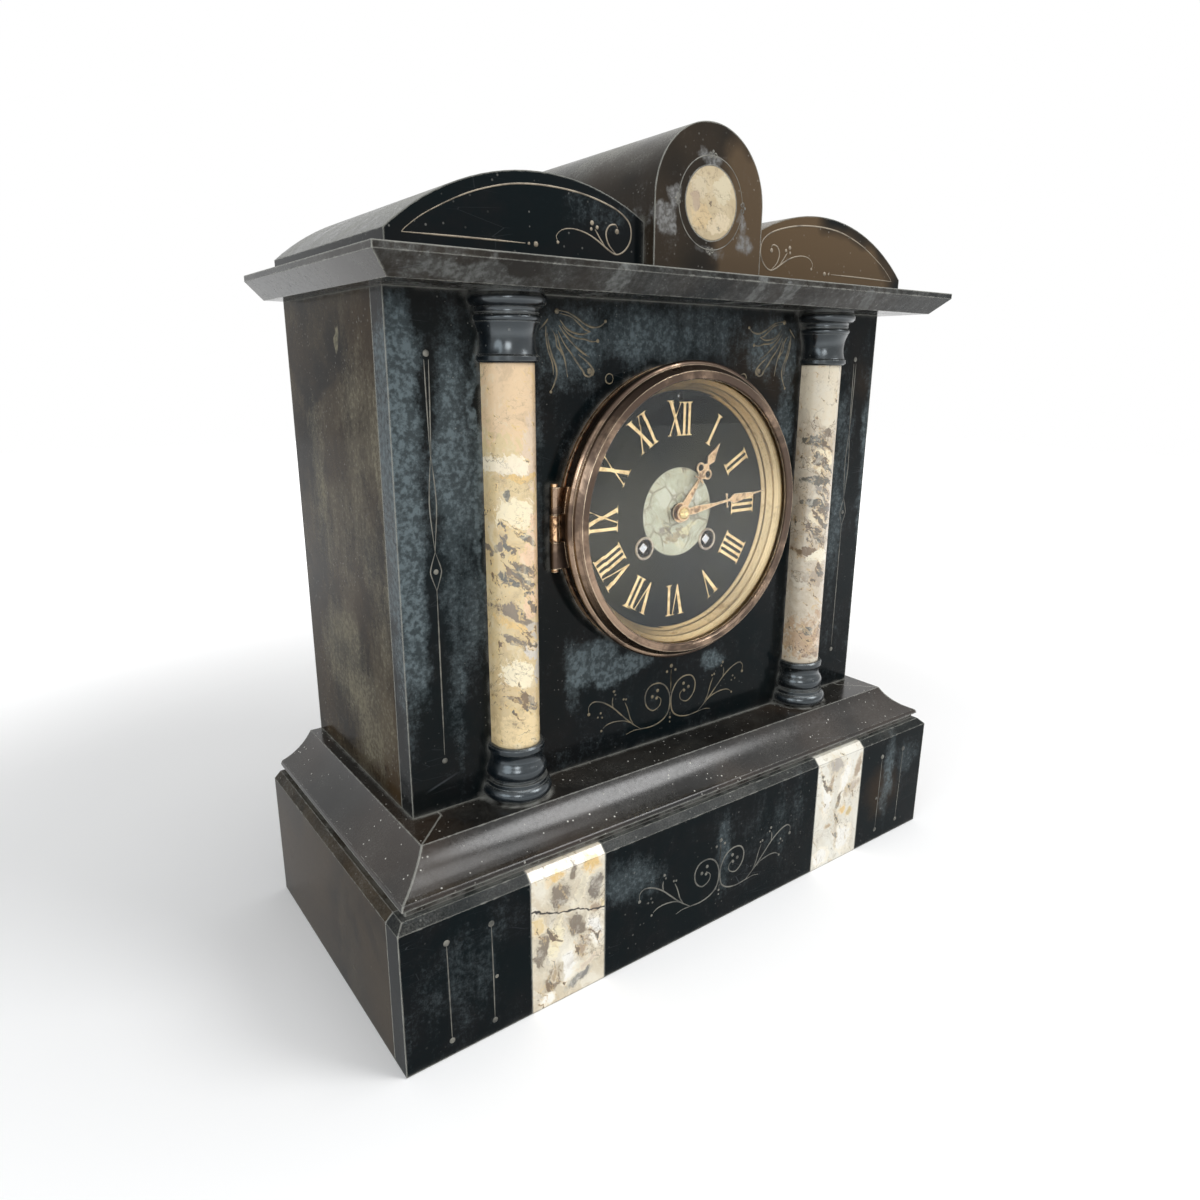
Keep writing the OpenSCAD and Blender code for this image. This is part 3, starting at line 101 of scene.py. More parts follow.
def put(tree, kind, inputs=None, out=0, **settings):
    """Adds a node, fills its inputs with values or other nodes' sockets, and hands back one of its outputs"""
    node = tree.nodes.new(kind)
    for key, value in settings.items():
        setattr(node, key, value)
    for key, value in (inputs or {}).items():
        feed(tree, node.inputs[key], value)
    return node.outputs[out] if len(node.outputs) else None

def calc(tree, op, a, b=0.0, c=0.0, clamp=False):
    """One step of arithmetic"""
    return put(tree, "ShaderNodeMath", {0: a, 1: b, 2: c}, operation=op, use_clamp=clamp)

def span(tree, value, lo, hi, a=0.0, b=1.0):
    """Value stretched so that lo gives a and hi gives b, smoothly and with both ends held"""
    return put(tree, "ShaderNodeMapRange", {0: value, 1: lo, 2: hi, 3: a, 4: b},
               interpolation_type="SMOOTHSTEP")

def rgba(value):
    """A colour gets its fourth number; anything else stays as it is"""
    return (*value, 1) if isinstance(value, tuple) and len(value) == 3 else value

def blend(tree, share, a, b):
    """Two colours mixed"""
    node = tree.nodes.new("ShaderNodeMix")
    node.data_type, node.clamp_factor = "RGBA", True
    for key, value in ((0, share), (6, a), (7, b)):
        feed(tree, node.inputs[key], value, rgba)
    return node.outputs[2]

def noise(tree, place, scale, detail=3.0, rough=0.55, warp=0.0, out=0):
    return put(tree, "ShaderNodeTexNoise", {"Vector": place, "Scale": scale, "Detail": detail,
                                            "Roughness": rough, "Distortion": warp}, out)

def object_place(tree):
    """Where a point is on the object, so that a pattern stays put when the object moves"""
    return put(tree, "ShaderNodeTexCoord", out="Object")

def ray_seen(tree):
    """1 for what the camera, a mirror or a glass sees, 0 for what lights the scene"""
    ray = put(tree, "ShaderNodeLightPath").node.outputs
    seen = calc(tree, "MAXIMUM", ray["Is Camera Ray"], ray["Is Glossy Ray"])
    return calc(tree, "MAXIMUM", seen, ray["Is Transmission Ray"])

print("helpers ready, the last one is", ray_seen.__name__)

# %% Floor
deselect()
bpy.ops.mesh.primitive_plane_add(size=6, location=(0, 0, -0.0004))
floor = bpy.context.object
floor.name = "floor"
floor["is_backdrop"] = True
floor_mat, tree = new_material("floor")
FLOOR_NEAR, FLOOR_FAR = 0.36, 1.0    # where the white starts to show and where nothing else is left, in metres
away = put(tree, "ShaderNodeVectorMath", {0: object_place(tree)}, "Value", operation="LENGTH")
fade = span(tree, away, FLOOR_NEAR, FLOOR_FAR, 0.1, 1.0)
plain = put(tree, "ShaderNodeBsdfDiffuse", {"Color": (0.84, 0.84, 0.84, 1)})
glow = put(tree, "ShaderNodeEmission", {"Color": (1, 1, 1, 1),
                                        "Strength": calc(tree, "MULTIPLY", fade, ray_seen(tree))})
put(tree, "ShaderNodeOutputMaterial", {"Surface": put(tree, "ShaderNodeAddShader", {0: plain, 1: glow})})
floor.data.materials.append(floor_mat)
print("floor", [round(v, 2) for v in floor.dimensions])

# %% World and lamps
world = bpy.data.worlds.new("white room")
bpy.context.scene.world = world
world.use_nodes = True
tree = world.node_tree
tree.nodes.clear()
ROOM_SEEN, ROOM_LIGHT = 1.0, 0.34
shown = put(tree, "ShaderNodeBackground", {"Color": (1, 1, 1, 1), "Strength": ROOM_SEEN})
lights = put(tree, "ShaderNodeBackground", {"Color": (1, 1, 1, 1), "Strength": ROOM_LIGHT})
mixed = put(tree, "ShaderNodeMixShader", {0: ray_seen(tree), 1: lights, 2: shown})
put(tree, "ShaderNodeOutputWorld", {"Surface": mixed})

CLOCK_MIDDLE = Vector((0, 0, 0.2))
def soft_lamp(name, place, size, watts, tint=(1, 1, 1)):
    """A round area lamp that looks at the middle of the clock"""
    lamp = bpy.data.objects.new(name, bpy.data.lights.new(name, "AREA"))
    lamp.data.shape, lamp.data.size, lamp.data.energy, lamp.data.color = "DISK", size, watts, tint
    lamp.location = place
    lamp.visible_transmission = False    # through the glass its light comes by shadow rays alone
    lamp.rotation_mode = "QUATERNION"
    lamp.rotation_quaternion = (CLOCK_MIDDLE - Vector(place)).to_track_quat("-Z", "Y")
    bpy.context.scene.collection.objects.link(lamp)

soft_lamp("key", (1.0, -1.15, 1.5), 0.9, 19)
soft_lamp("window", (-1.6, -0.6, 0.8), 1.0, 8, (0.88, 0.95, 1.0))
soft_lamp("near", (-0.62, -1.0, 0.62), 0.45, 4)
soft_lamp("overhead", (0.2, -0.2, 1.6), 1.0, 9)
bpy.context.scene.view_settings.view_transform = "Standard"

# %% [markdown]
# Effects that many finishes share are node groups. The first finds the sharp edges of a piece: where the
# rounded normal of the Bevel node leans away from the true one, an edge is near. Old slate and brass are
# rubbed bright there, and the rounded normal also keeps the slabs from looking knife-sharp.

# %% Group for worn edges
COLOUR, VALUE, VECTOR = "NodeSocketColor", "NodeSocketFloat", "NodeSocketVector"

def new_group(name, inputs, outputs):
    """A node group; inputs maps names to values, None for a place, and outputs maps names to kinds"""
    g = bpy.data.node_groups.new(name, "ShaderNodeTree")
    for key, value in inputs.items():
        kind = {tuple: COLOUR, float: VALUE}.get(type(value), VECTOR)
        socket = g.interface.new_socket(key, in_out="INPUT", socket_type=kind)
        if kind == COLOUR:
            socket.default_value = (*value, 1)
        elif kind == VALUE:
            socket.default_value = value
    for key, kind in outputs.items():
        g.interface.new_socket(key, in_out="OUTPUT", socket_type=kind)
    return g, g.nodes.new("NodeGroupInput").outputs, g.nodes.new("NodeGroupOutput").inputs

def use(tree, group, **inputs):
    """Places a group with its inputs filled, and hands back its outputs"""
    node = tree.nodes.new("ShaderNodeGroup")
    node.node_tree = group
    for key, value in inputs.items():
        feed(tree, node.inputs[key.replace("_", " ")], value, rgba)
    return node.outputs

edge_group, gin, gout = new_group("worn edges", {"Place": None, "Width": 0.0012, "Broken": 0.6, "Soft": 0.0005},
                                  {"Wear": VALUE, "Normal": VECTOR})
g = edge_group
true = put(g, "ShaderNodeNewGeometry", out="Normal")
wide = put(g, "ShaderNodeBevel", {"Radius": gin["Width"]}, samples=6)
fine = put(g, "ShaderNodeBevel", {"Radius": gin["Soft"]}, samples=4)
lean = calc(g, "SUBTRACT", 1.0, put(g, "ShaderNodeVectorMath", {0: true, 1: wide}, "Value",
                                    operation="DOT_PRODUCT"))
need = calc(g, "MULTIPLY_ADD", span(g, noise(g, gin["Place"], 260, 4), 0.35, 0.65, 0.0, 0.1), gin["Broken"],
            0.012)
g.links.new(span(g, calc(g, "SUBTRACT", lean, need), 0.0, 0.04), gout["Wear"])
g.links.new(fine, gout["Normal"])
print("group:", g.name, len(g.nodes), "nodes")

# %% [markdown]
# Dust settles on whatever faces up, gathers in corners and lies as specks elsewhere. The group knows which
# way the surface faces from its normal, finds corners with the Ambient Occlusion node, and breaks the
# layer up with noise so that it never looks sprayed on.

# %% Group for dust
dust_group, gin, gout = new_group("dust", {"Place": None, "Colour": (0.02, 0.02, 0.02), "Rough": 0.2,
                                           "Layer": 0.3, "Specks": 0.4, "Corners": 0.5,
                                           "Tint": (0.42, 0.4, 0.37), "Speck": (0.62, 0.61, 0.56)},
                                  {"Colour": COLOUR, "Rough": VALUE})
g = dust_group
def dots(tree, place, size, share, low, high):
    """Round specks: share of the cells of a Voronoi texture get one, low to high wide"""
    cells = put(tree, "ShaderNodeTexVoronoi", {"Vector": place, "Scale": size, "Randomness": 1.0})
    lots = put(tree, "ShaderNodeSeparateColor", {0: cells.node.outputs["Color"]}).node.outputs
    wide = calc(tree, "MULTIPLY_ADD", lots["Green"], high - low, low)
    return calc(tree, "MULTIPLY", span(tree, calc(tree, "DIVIDE", cells, wide), 1.0, 0.6),
                calc(tree, "LESS_THAN", lots["Red"], share))

up = put(g, "ShaderNodeSeparateXYZ", {0: put(g, "ShaderNodeNewGeometry", out="Normal")}, "Z")
flat = span(g, up, 0.25, 0.95)
cloud = span(g, noise(g, gin["Place"], 38, 5, 0.65), 0.3, 0.75, 0.2, 1.0)
film = span(g, noise(g, gin["Place"], 1300, 2, 0.7), 0.38, 0.66, 0.35, 1.0)
layer = calc(g, "MULTIPLY", calc(g, "MULTIPLY", flat, cloud), calc(g, "MULTIPLY", film, gin["Layer"]))
shut = put(g, "ShaderNodeAmbientOcclusion", {"Distance": 0.004}, "AO", samples=4)
nook = calc(g, "MULTIPLY", span(g, shut, 0.8, 0.5),
            span(g, noise(g, gin["Place"], 130, 4, 0.6), 0.35, 0.6, 0.15, 1.0))
nook = calc(g, "MULTIPLY", nook, gin["Corners"])
patchy = span(g, noise(g, gin["Place"], 19, 3), 0.36, 0.62, 0.15, 1.0)
more = calc(g, "MULTIPLY_ADD", flat, 0.65, 0.35)
specks = calc(g, "MAXIMUM", dots(g, gin["Place"], 420, 0.26, 0.10, 0.24),
              dots(g, gin["Place"], 170, 0.12, 0.06, 0.14))
specks = calc(g, "MULTIPLY", calc(g, "MULTIPLY", specks, patchy), calc(g, "MULTIPLY", more, gin["Specks"]))
share = calc(g, "MAXIMUM", layer, nook, clamp=True)
g.links.new(blend(g, specks, blend(g, share, gin["Colour"], gin["Tint"]), gin["Speck"]), gout["Colour"])
share = calc(g, "MAXIMUM", share, specks, clamp=True)
g.links.new(calc(g, "ADD", gin["Rough"], calc(g, "MULTIPLY", share, 0.5), clamp=True), gout["Rough"])
print("group:", g.name, len(g.nodes), "nodes")

# %% [markdown]
# Slate of this kind is nearly black, but a century of rooms has left it uneven. A blue-grey bloom lies over
# some of it in upright streaks, as if wiped, and old polish has turned other parts brown. The same brown, laid
# on the sides, the centre block and the right of the pediment, is also painted warm reflection. The group takes
# how much of each a piece shows. Where the photograph shows one clear stain, a patch is laid there.

# %% Group for slate
mm = 0.001
PATCH_REACH = 0.06    # a patch lies this deep about the front, so that it doesn't show on the back

def patch(tree, place, x, z, wide, tall, tilt=0.0, soft=0.6):
    """1 inside an oval on the face of the clock, fading to 0 at its edge; sizes in mm, tilt in degrees"""
    local = put(tree, "ShaderNodeMapping", {"Vector": place, "Location": (x * mm, -PATCH_REACH, z * mm),
                "Rotation": (0, math.radians(tilt), 0), "Scale": (wide * mm, PATCH_REACH, tall * mm)},
                vector_type="TEXTURE")
    away = put(tree, "ShaderNodeVectorMath", {0: local}, "Value", operation="LENGTH")
    return span(tree, away, 1.0, 1.0 - soft)

def ragged(tree, place, size, reach, rough=0.6):
    """The place, shifted by noise, so that what is drawn there gets torn edges; size in mm, reach in mm"""
    push = noise(tree, place, 1000 / size, 4, rough, out="Color")
    push = put(tree, "ShaderNodeVectorMath", {0: push, 1: (0.5, 0.5, 0.5)}, operation="SUBTRACT")
    push = put(tree, "ShaderNodeVectorMath", {0: push, 1: (2 * mm * reach,) * 3}, operation="MULTIPLY")
    return put(tree, "ShaderNodeVectorMath", {0: place, 1: push}, operation="ADD")

slate_group, gin, gout = new_group(
    "slate", {"Place": None, "Bloom": 0.5, "Brown": 0.2, "Scuffs": 0.4, "Deep": (0.0018, 0.0050, 0.0062),
              "Other": (0.0050, 0.0062, 0.0070), "Veil": (0.105, 0.132, 0.142), "Rust": (0.026, 0.017, 0.010)},
    {"Colour": COLOUR, "Rough": VALUE, "Height": VALUE})
g = slate_group
tall = put(g, "ShaderNodeMapping", {"Vector": gin["Place"], "Scale": (1.0, 1.0, 0.16)})
streaks = noise(g, tall, 120, 5, 0.62)
clouds = noise(g, gin["Place"], 26, 6, 0.66, 0.5)
broad = noise(g, gin["Place"], 10, 3, 0.5)
fine = noise(g, gin["Place"], 420, 3, 0.6)
flecks = noise(g, gin["Place"], 1200, 2, 0.7)
base = blend(g, span(g, clouds, 0.38, 0.62), gin["Deep"], gin["Other"])
# The brown laid here is partly old polish and partly painted warm reflection, where a slab puts it on its sides
# or pediment.
base = blend(g, calc(g, "MULTIPLY", span(g, broad, 0.42, 0.6), gin["Brown"]), base, gin["Rust"])
wiped = calc(g, "MULTIPLY_ADD", clouds, 0.36, calc(g, "MULTIPLY", streaks, 0.26))
wiped = calc(g, "ADD", wiped, calc(g, "MULTIPLY_ADD", fine, 0.22, calc(g, "MULTIPLY", flecks, 0.16)))
wiped = calc(g, "MULTIPLY_ADD", gin["Bloom"], 0.17, wiped)
haze = span(g, wiped, 0.56, 0.90)
half = blend(g, 0.30, base, gin["Veil"])
colour = blend(g, span(g, haze, 0.0, 0.5), base, half)
pale = blend(g, span(g, fine, 0.38, 0.64), blend(g, 0.35, base, gin["Veil"]), gin["Veil"])
colour = blend(g, span(g, haze, 0.35, 1.0), colour, pale)
scratch = put(g, "ShaderNodeTexVoronoi", {"Vector": put(g, "ShaderNodeMapping", {
    "Vector": gin["Place"], "Rotation": (0.2, 0.5, 0.3), "Scale": (1.0, 1.0, 7.0)}), "Scale": 24.0},
    feature="DISTANCE_TO_EDGE")
lines = calc(g, "MULTIPLY", calc(g, "LESS_THAN", scratch, 0.005),
             span(g, noise(g, gin["Place"], 33, 2), 0.55, 0.7))
lines = calc(g, "MULTIPLY", lines, gin["Scuffs"])
colour = blend(g, calc(g, "MULTIPLY", lines, 0.5), colour, (0.10, 0.11, 0.12))
g.links.new(colour, gout["Colour"])
rough = calc(g, "MULTIPLY_ADD", haze, 0.25, 0.10)
rough = calc(g, "ADD", rough, calc(g, "MULTIPLY", span(g, fine, 0.35, 0.7), 0.07))
g.links.new(calc(g, "ADD", rough, calc(g, "MULTIPLY", lines, 0.2), clamp=True), gout["Rough"])
ripple = calc(g, "ADD", calc(g, "MULTIPLY", broad, 0.6), calc(g, "MULTIPLY", fine, 0.05))
g.links.new(calc(g, "SUBTRACT", ripple, calc(g, "MULTIPLY", lines, 0.1)), gout["Height"])
print("group:", g.name, len(g.nodes), "nodes")

# %% [markdown]
# That group makes the polished slabs, the satin moulding, the glossy turned bases and capitals, and the dial.
# Each slab gets its own copy with its own bloom and stains. In a white room real gloss would lay a grey veil
# over stone this dark, so the specular level of the slabs is set far below that of real slate. Stains and
# rust patches are written as (x, z, half width, half height, strength, tilt); on the pediment, the centre block
# and the sides some of that brown is painted warm reflection.

# %% Slate finishes
def surface(tree, colour, rough, normal=None, height=None, bump=0.0003, strength=0.4, metal=0.0, **plain):
    """A Principled surface on a tree; plain names its fixed settings"""
    values = {"Base Color": colour, "Roughness": rough, "Metallic": metal}
    if height is not None:
        bumps = {"Height": height, "Distance": bump, "Strength": strength}
        if normal is not None:
            bumps["Normal"] = normal
        normal = put(tree, "ShaderNodeBump", bumps)
    if normal is not None:
        values["Normal"] = normal
    values.update({k.replace("_", " "): v for k, v in plain.items()})
    put(tree, "ShaderNodeOutputMaterial", {"Surface": put(tree, "ShaderNodeBsdfPrincipled", values)})

def laid(tree, torn, amount, ovals, soft=0.6):
    """The amount, raised inside each oval by the oval's own strength"""
    for x, z, wide, high, more, *tilt in ovals:
        here = patch(tree, torn, x, z, wide, high, *(tilt or [0.0]), soft)
        amount = calc(tree, "MULTIPLY_ADD", here, more, amount)
    return amount

RUBBED = (0.30, 0.30, 0.27)
def slate_finish(name, bloom=0.3, brown=0.2, scuffs=0.4, layer=0.35, specks=0.5, corners=0.5, wear=0.6,
                 stains=(), rusts_and_sheens=(), dulled=0.0, grain=0.0006, sideways=False, shine=0.07, width=0.0012,
                 tint=(0.24, 0.24, 0.22), sheen=(1.0, 1.0, 1.0), **tones):
    """A slate of its own; sideways lays the stains on the left and right faces, by y instead of x"""
    m, tree = new_material(name)
    place = object_place(tree)
    torn = ragged(tree, place, 16, 9)
    if sideways:
        xyz = put(tree, "ShaderNodeSeparateXYZ", {0: torn}).node.outputs
        torn = put(tree, "ShaderNodeCombineXYZ", {"X": xyz["Y"], "Y": -PATCH_REACH, "Z": xyz["Z"]})
    # The brown patches are real rust on some slabs and painted warm reflection on others.
    stone = use(tree, slate_group, Place=place, Bloom=laid(tree, torn, bloom, stains),
                Brown=laid(tree, torn, brown, rusts_and_sheens), Scuffs=scuffs, **tones)
    edge = use(tree, edge_group, Place=place, Width=width)
    worn = calc(tree, "MULTIPLY", edge["Wear"], wear)
    colour = blend(tree, worn, stone["Colour"], RUBBED)
    dusty = use(tree, dust_group, Place=place, Colour=colour, Rough=stone["Rough"], Layer=layer, Specks=specks,
                Corners=corners, Tint=tint)
    rough = calc(tree, "ADD", dusty["Rough"], calc(tree, "MULTIPLY_ADD", worn, 0.2, dulled), clamp=True)
    # The sheen colour tints the reflections; where it is not white it is a painted reflection of the room's
    # colour.
    surface(tree, dusty["Colour"], rough, edge["Normal"], stone["Height"], grain, 0.2,
            Specular_IOR_Level=shine, Specular_Tint=(*sheen, 1))
    return m

print("rubbed edges of slate:", RUBBED)

# %% Slate of each slab
# Brown tones for the side faces: partly brown patina, partly a painted warm reflection of the surroundings.
SIDE_BROWN_AND_SHEEN = dict(Deep=(0.0030, 0.0020, 0.0010), Other=(0.034, 0.024, 0.013), Veil=(0.190, 0.172, 0.120),
            Rust=(0.040, 0.024, 0.010))
slates = {
    "plinth_front": slate_finish(
        "slate_plinth", 0.45, 0.0, 0.6, wear=1.0, layer=0.45, specks=0.32, shine=0.05,
        stains=[(-148, 40, 30, 36, 0.5), (-60, 48, 34, 20, 0.9, 20), (2, 40, 9, 38, 0.9, 6),
                (46, 44, 40, 26, 0.5), (145, 40, 9, 44, 1.2, 4), (165, 52, 20, 20, 0.8)],
        rusts_and_sheens=[(140, 34, 24, 26, 1.0)]),
    "plinth_sides": slate_finish("slate_plinth_sides", 0.3, 0.8, wear=1.0, layer=0.5, shine=0.04, **SIDE_BROWN_AND_SHEEN),
    "plinth_back": slate_finish("slate_plinth_back", 0.5, 0.3, dulled=0.2),
    "case_front": slate_finish(
        "slate_front", 0.45, 0.12, 0.5, specks=0.5, wear=0.9,
        stains=[(-148, 225, 13, 130, 1.7), (-124, 235, 17, 115, 1.1), (-147, 296, 16, 24, 0.8),
                (-129, 140, 10, 40, 0.6), (-113.5, 250, 3, 80, 1.2), (-52, 146, 22, 18, 2.0, -20),
                (-30, 139, 26, 9, 1.9, -12), (-66, 142, 8, 30, 0.9), (31, 131, 15, 8, 1.6, 10),
                (-66, 298, 26, 26, 0.9), (66, 298, 26, 26, 0.9), (154, 225, 9, 110, 1.1),
                (128, 220, 12, 100, 0.8), (-84, 235, 8, 80, 0.5), (78, 262, 12, 50, 0.8), (0, 306, 95, 24, 0.7),
                (-20, 300, 30, 20, 0.5)],
        rusts_and_sheens=[(66, 295, 50, 34, 0.7), (145, 300, 26, 36, 0.8), (-20, 116, 70, 16, 0.3)]),
    # The warm specular tint of the sides is a painted warm reflection, and their brown tones are partly the
    # same.
    "case_sides": slate_finish(
        "slate_sides", 0.55, 0.6, wear=0.9, shine=0.03, sheen=(1.0, 0.84, 0.64), sideways=True,
        stains=[(12, 300, 4, 6, 2.6), (-8, 265, 34, 44, 0.6), (26, 214, 50, 36, 0.55), (-18, 190, 20, 60, 0.6),
                (34, 150, 44, 34, 0.85), (-5, 125, 44, 34, 0.7), (50, 250, 16, 40, 0.7),
                (-30, 230, 8, 70, 0.7)],
        rusts_and_sheens=[(40, 285, 20, 30, 1.0), (-20, 120, 16, 40, 1.0)],
        **SIDE_BROWN_AND_SHEEN),
    "case_back": slate_finish("slate_back", 0.5, 0.4, dulled=0.3),
    "case_floor": slate_finish("slate_floor", 0.4, 0.3, dulled=0.35),
    "cornice": slate_finish(
        "slate_cornice", 0.9, 0.5, 0.5, layer=0.5, wear=1.2, shine=0.16, Veil=(0.13, 0.135, 0.13),
        Other=(0.020, 0.020, 0.018),
        stains=[(-62, 324, 7, 9, 1.2, 30), (18, 324, 5, 10, 1.6, 40), (40, 324, 6, 10, 1.6, 30),
                (98, 324, 6, 11, 1.8, -30), (-128, 322, 36, 5, 0.9)]),
    # The big bright brown patch on the right segment is a painted warm reflection. The thick dust layer is
    # partly dust and partly a painted pale sheen on the tops.
    "pediment_segments": slate_finish(
        "slate_segments", 0.15, 0.0, 0.3, layer=1.3, wear=0.8, shine=0.08,
        stains=[(-66, 352, 40, 10, 0.6)],
        rusts_and_sheens=[(92, 345, 95, 40, 4.0)],
        Rust=(0.100, 0.066, 0.036), tint=(0.30, 0.30, 0.27)),
    # The brown patch over the right half of the block is a painted warm reflection. The thick dust layer is
    # partly dust and partly a painted pale sheen on the top.
    "centre_block": slate_finish(
        "slate_block", 0.30, 0.35, 0.3, layer=1.2, wear=1.2, shine=0.09,
        stains=[(-27, 352, 8, 8, 1.9), (21, 345, 8, 8, 1.6), (-21, 362, 5, 8, 1.2), (0, 380, 10, 4, 1.3),
                (0, 341, 14, 4, 0.9), (19, 356, 4, 7, 1.2)],
        rusts_and_sheens=[(24, 350, 26, 60, 2.5)],
        Veil=(0.20, 0.20, 0.195), Rust=(0.085, 0.058, 0.034), tint=(0.30, 0.30, 0.27)),
}
print("slab finishes:", len(slates))

# %% Slate of the moulding, the turned pieces and the dial
satin = slate_finish("slate_satin", 0.30, 0.9, 0.3, layer=0.16, specks=1.2, corners=1.1, wear=0.9, dulled=0.05,
                     shine=0.42, Deep=(0.0030, 0.0026, 0.0022), Other=(0.0070, 0.0058, 0.0045),
                     Veil=(0.070, 0.068, 0.060), Rust=(0.020, 0.012, 0.007))
# The bluish specular tint of the turned bases and capitals is a painted reflection of a bluish window.
turned = slate_finish("slate_turned", 0.1, 0.05, 0.1, layer=0.25, specks=0.35, corners=0.5, wear=0.35,
                      width=0.0005, shine=0.8, dulled=0.08, Deep=(0.0030, 0.0060, 0.0090),
                      sheen=(0.86, 0.95, 1.0))
dial_slate = slate_finish("slate_dial", 0.1, 0.9, 0.1, layer=0.0, specks=0.4, grain=0.00005, dulled=0.25,
                          corners=0.0, wear=0.15, shine=0.03, Rust=(0.020, 0.019, 0.011))
other_slates = {"slate_satin": satin, "slate_turned": turned, "slate_dial": dial_slate}
print("other slates:", list(other_slates))

# %% [markdown]
# The coloured marbles are breccias: broken lumps of grey and cream stone that nature cemented with white
# and gold. A plain Voronoi texture would look like terrazzo, so the main lumps and flows are laid down one
# by one as ovals whose edges noise has torn, and a group adds the mottling and the thin dark veins.

# %% Group for veined marble
marble_group, gin, gout = new_group(
    "veined marble", {"Place": None, "Colour": (0.7, 0.6, 0.45), "Vein": (0.14, 0.10, 0.07), "Veins": 0.6,
                      "Mottle": 0.5, "Light": (0.84, 0.80, 0.70), "Dark": (0.30, 0.22, 0.15), "Scale": 1.0},
    {"Colour": COLOUR, "Height": VALUE})
g = marble_group
at = put(g, "ShaderNodeVectorMath", {0: gin["Place"], "Scale": gin["Scale"]}, operation="SCALE")

def thread(tree, place, size, thin, detail=5.0):
    """Thin lines where noise crosses its middle value, like the veins of marble"""
    value = calc(tree, "ABSOLUTE", calc(tree, "SUBTRACT", noise(tree, place, size, detail, 0.62, 0.8), 0.5))
    return span(tree, value, thin, thin * 0.25)

soft_cloud = noise(g, at, 90, 6, 0.68, 0.9)
grains = noise(g, at, 520, 4, 0.7)
colour = blend(g, calc(g, "MULTIPLY", span(g, soft_cloud, 0.50, 0.68), gin["Mottle"]), gin["Colour"],
               gin["Light"])
colour = blend(g, calc(g, "MULTIPLY", span(g, soft_cloud, 0.48, 0.34), calc(g, "MULTIPLY", gin["Mottle"], 0.6)),
               colour, gin["Dark"])
here = span(g, noise(g, at, 42, 3, 0.6), 0.42, 0.62)
threads = calc(g, "MULTIPLY", thread(g, at, 62, 0.010), here)
finer = calc(g, "MULTIPLY", thread(g, at, 170, 0.012, 4.0), span(g, noise(g, at, 55, 2), 0.5, 0.65))
threads = calc(g, "MULTIPLY", calc(g, "MAXIMUM", threads, calc(g, "MULTIPLY", finer, 0.7)), gin["Veins"],
               clamp=True)
colour = blend(g, threads, colour, gin["Vein"])
speck = calc(g, "MULTIPLY", span(g, grains, 0.56, 0.72), calc(g, "MULTIPLY", gin["Mottle"], 0.5))
colour = blend(g, speck, colour, gin["Dark"])
g.links.new(colour, gout["Colour"])
g.links.new(calc(g, "SUBTRACT", calc(g, "MULTIPLY", grains, 0.3), threads), gout["Height"])
print("group:", g.name, len(g.nodes), "nodes")

# %% Marble finishes
stones = [(0.215, 0.175, 0.13), (0.80, 0.70, 0.50), (0.86, 0.84, 0.78), (0.72, 0.50, 0.21), (0.20, 0.14, 0.085),
          (0.76, 0.53, 0.34), (0.13, 0.125, 0.105), (0.40, 0.31, 0.22)]
TAUPE, CREAM, SNOW, GOLD, UMBER, PEACH, SMOKE, BRAN = stones

def lumpy(tree, torn, colour, lumps, rip, rim=0.0):
    """Lays ovals (x, z, half width, half height, colour, tilt) of stone over a colour; rip breaks them up"""
    for x, z, wide, high, tone, *tilt in lumps:
        field = calc(tree, "ADD", patch(tree, torn, x, z, 1.5 * wide, 1.5 * high, *(tilt or [0]), 1.0), rip)
        if rim:
            halo = tuple(0.45 * c + 0.55 * h for c, h in zip(tone, (0.84, 0.76, 0.58)))
            colour = blend(tree, calc(tree, "MULTIPLY", span(tree, field, 0.24, 0.38), rim), colour, halo)
        colour = blend(tree, span(tree, field, 0.40, 0.52), colour, tone)
    return colour

def drift(tree, place, size, tilt, long, detail=6.0, rough=0.65, warp=1.0):
    """Noise drawn out along a slope, like the flow of marble"""
    slanted = put(tree, "ShaderNodeMapping", {"Vector": place, "Rotation": (0, math.radians(tilt), 0)},
                  vector_type="TEXTURE")
    slanted = put(tree, "ShaderNodeMapping", {"Vector": slanted, "Scale": (1 / long, 1, 1)})
    return noise(tree, slanted, size, detail, rough, warp)

def side_mask(tree, place):
    """0 left of the clock's middle and 1 right of it"""
    return calc(tree, "GREATER_THAN", put(tree, "ShaderNodeSeparateXYZ", {0: place}, "X"), 0.0)

def stone(main, second, stain, gold, zones, lumps, **settings):
    """One stone: its two ground colours, the stain and the gold rim of its dark flow, the zones where that
    flow lies, its lumps, and the settings of the group"""
    return dict(main=main, second=second, stain=stain, gold=gold, zones=zones, lumps=lumps, settings=settings)

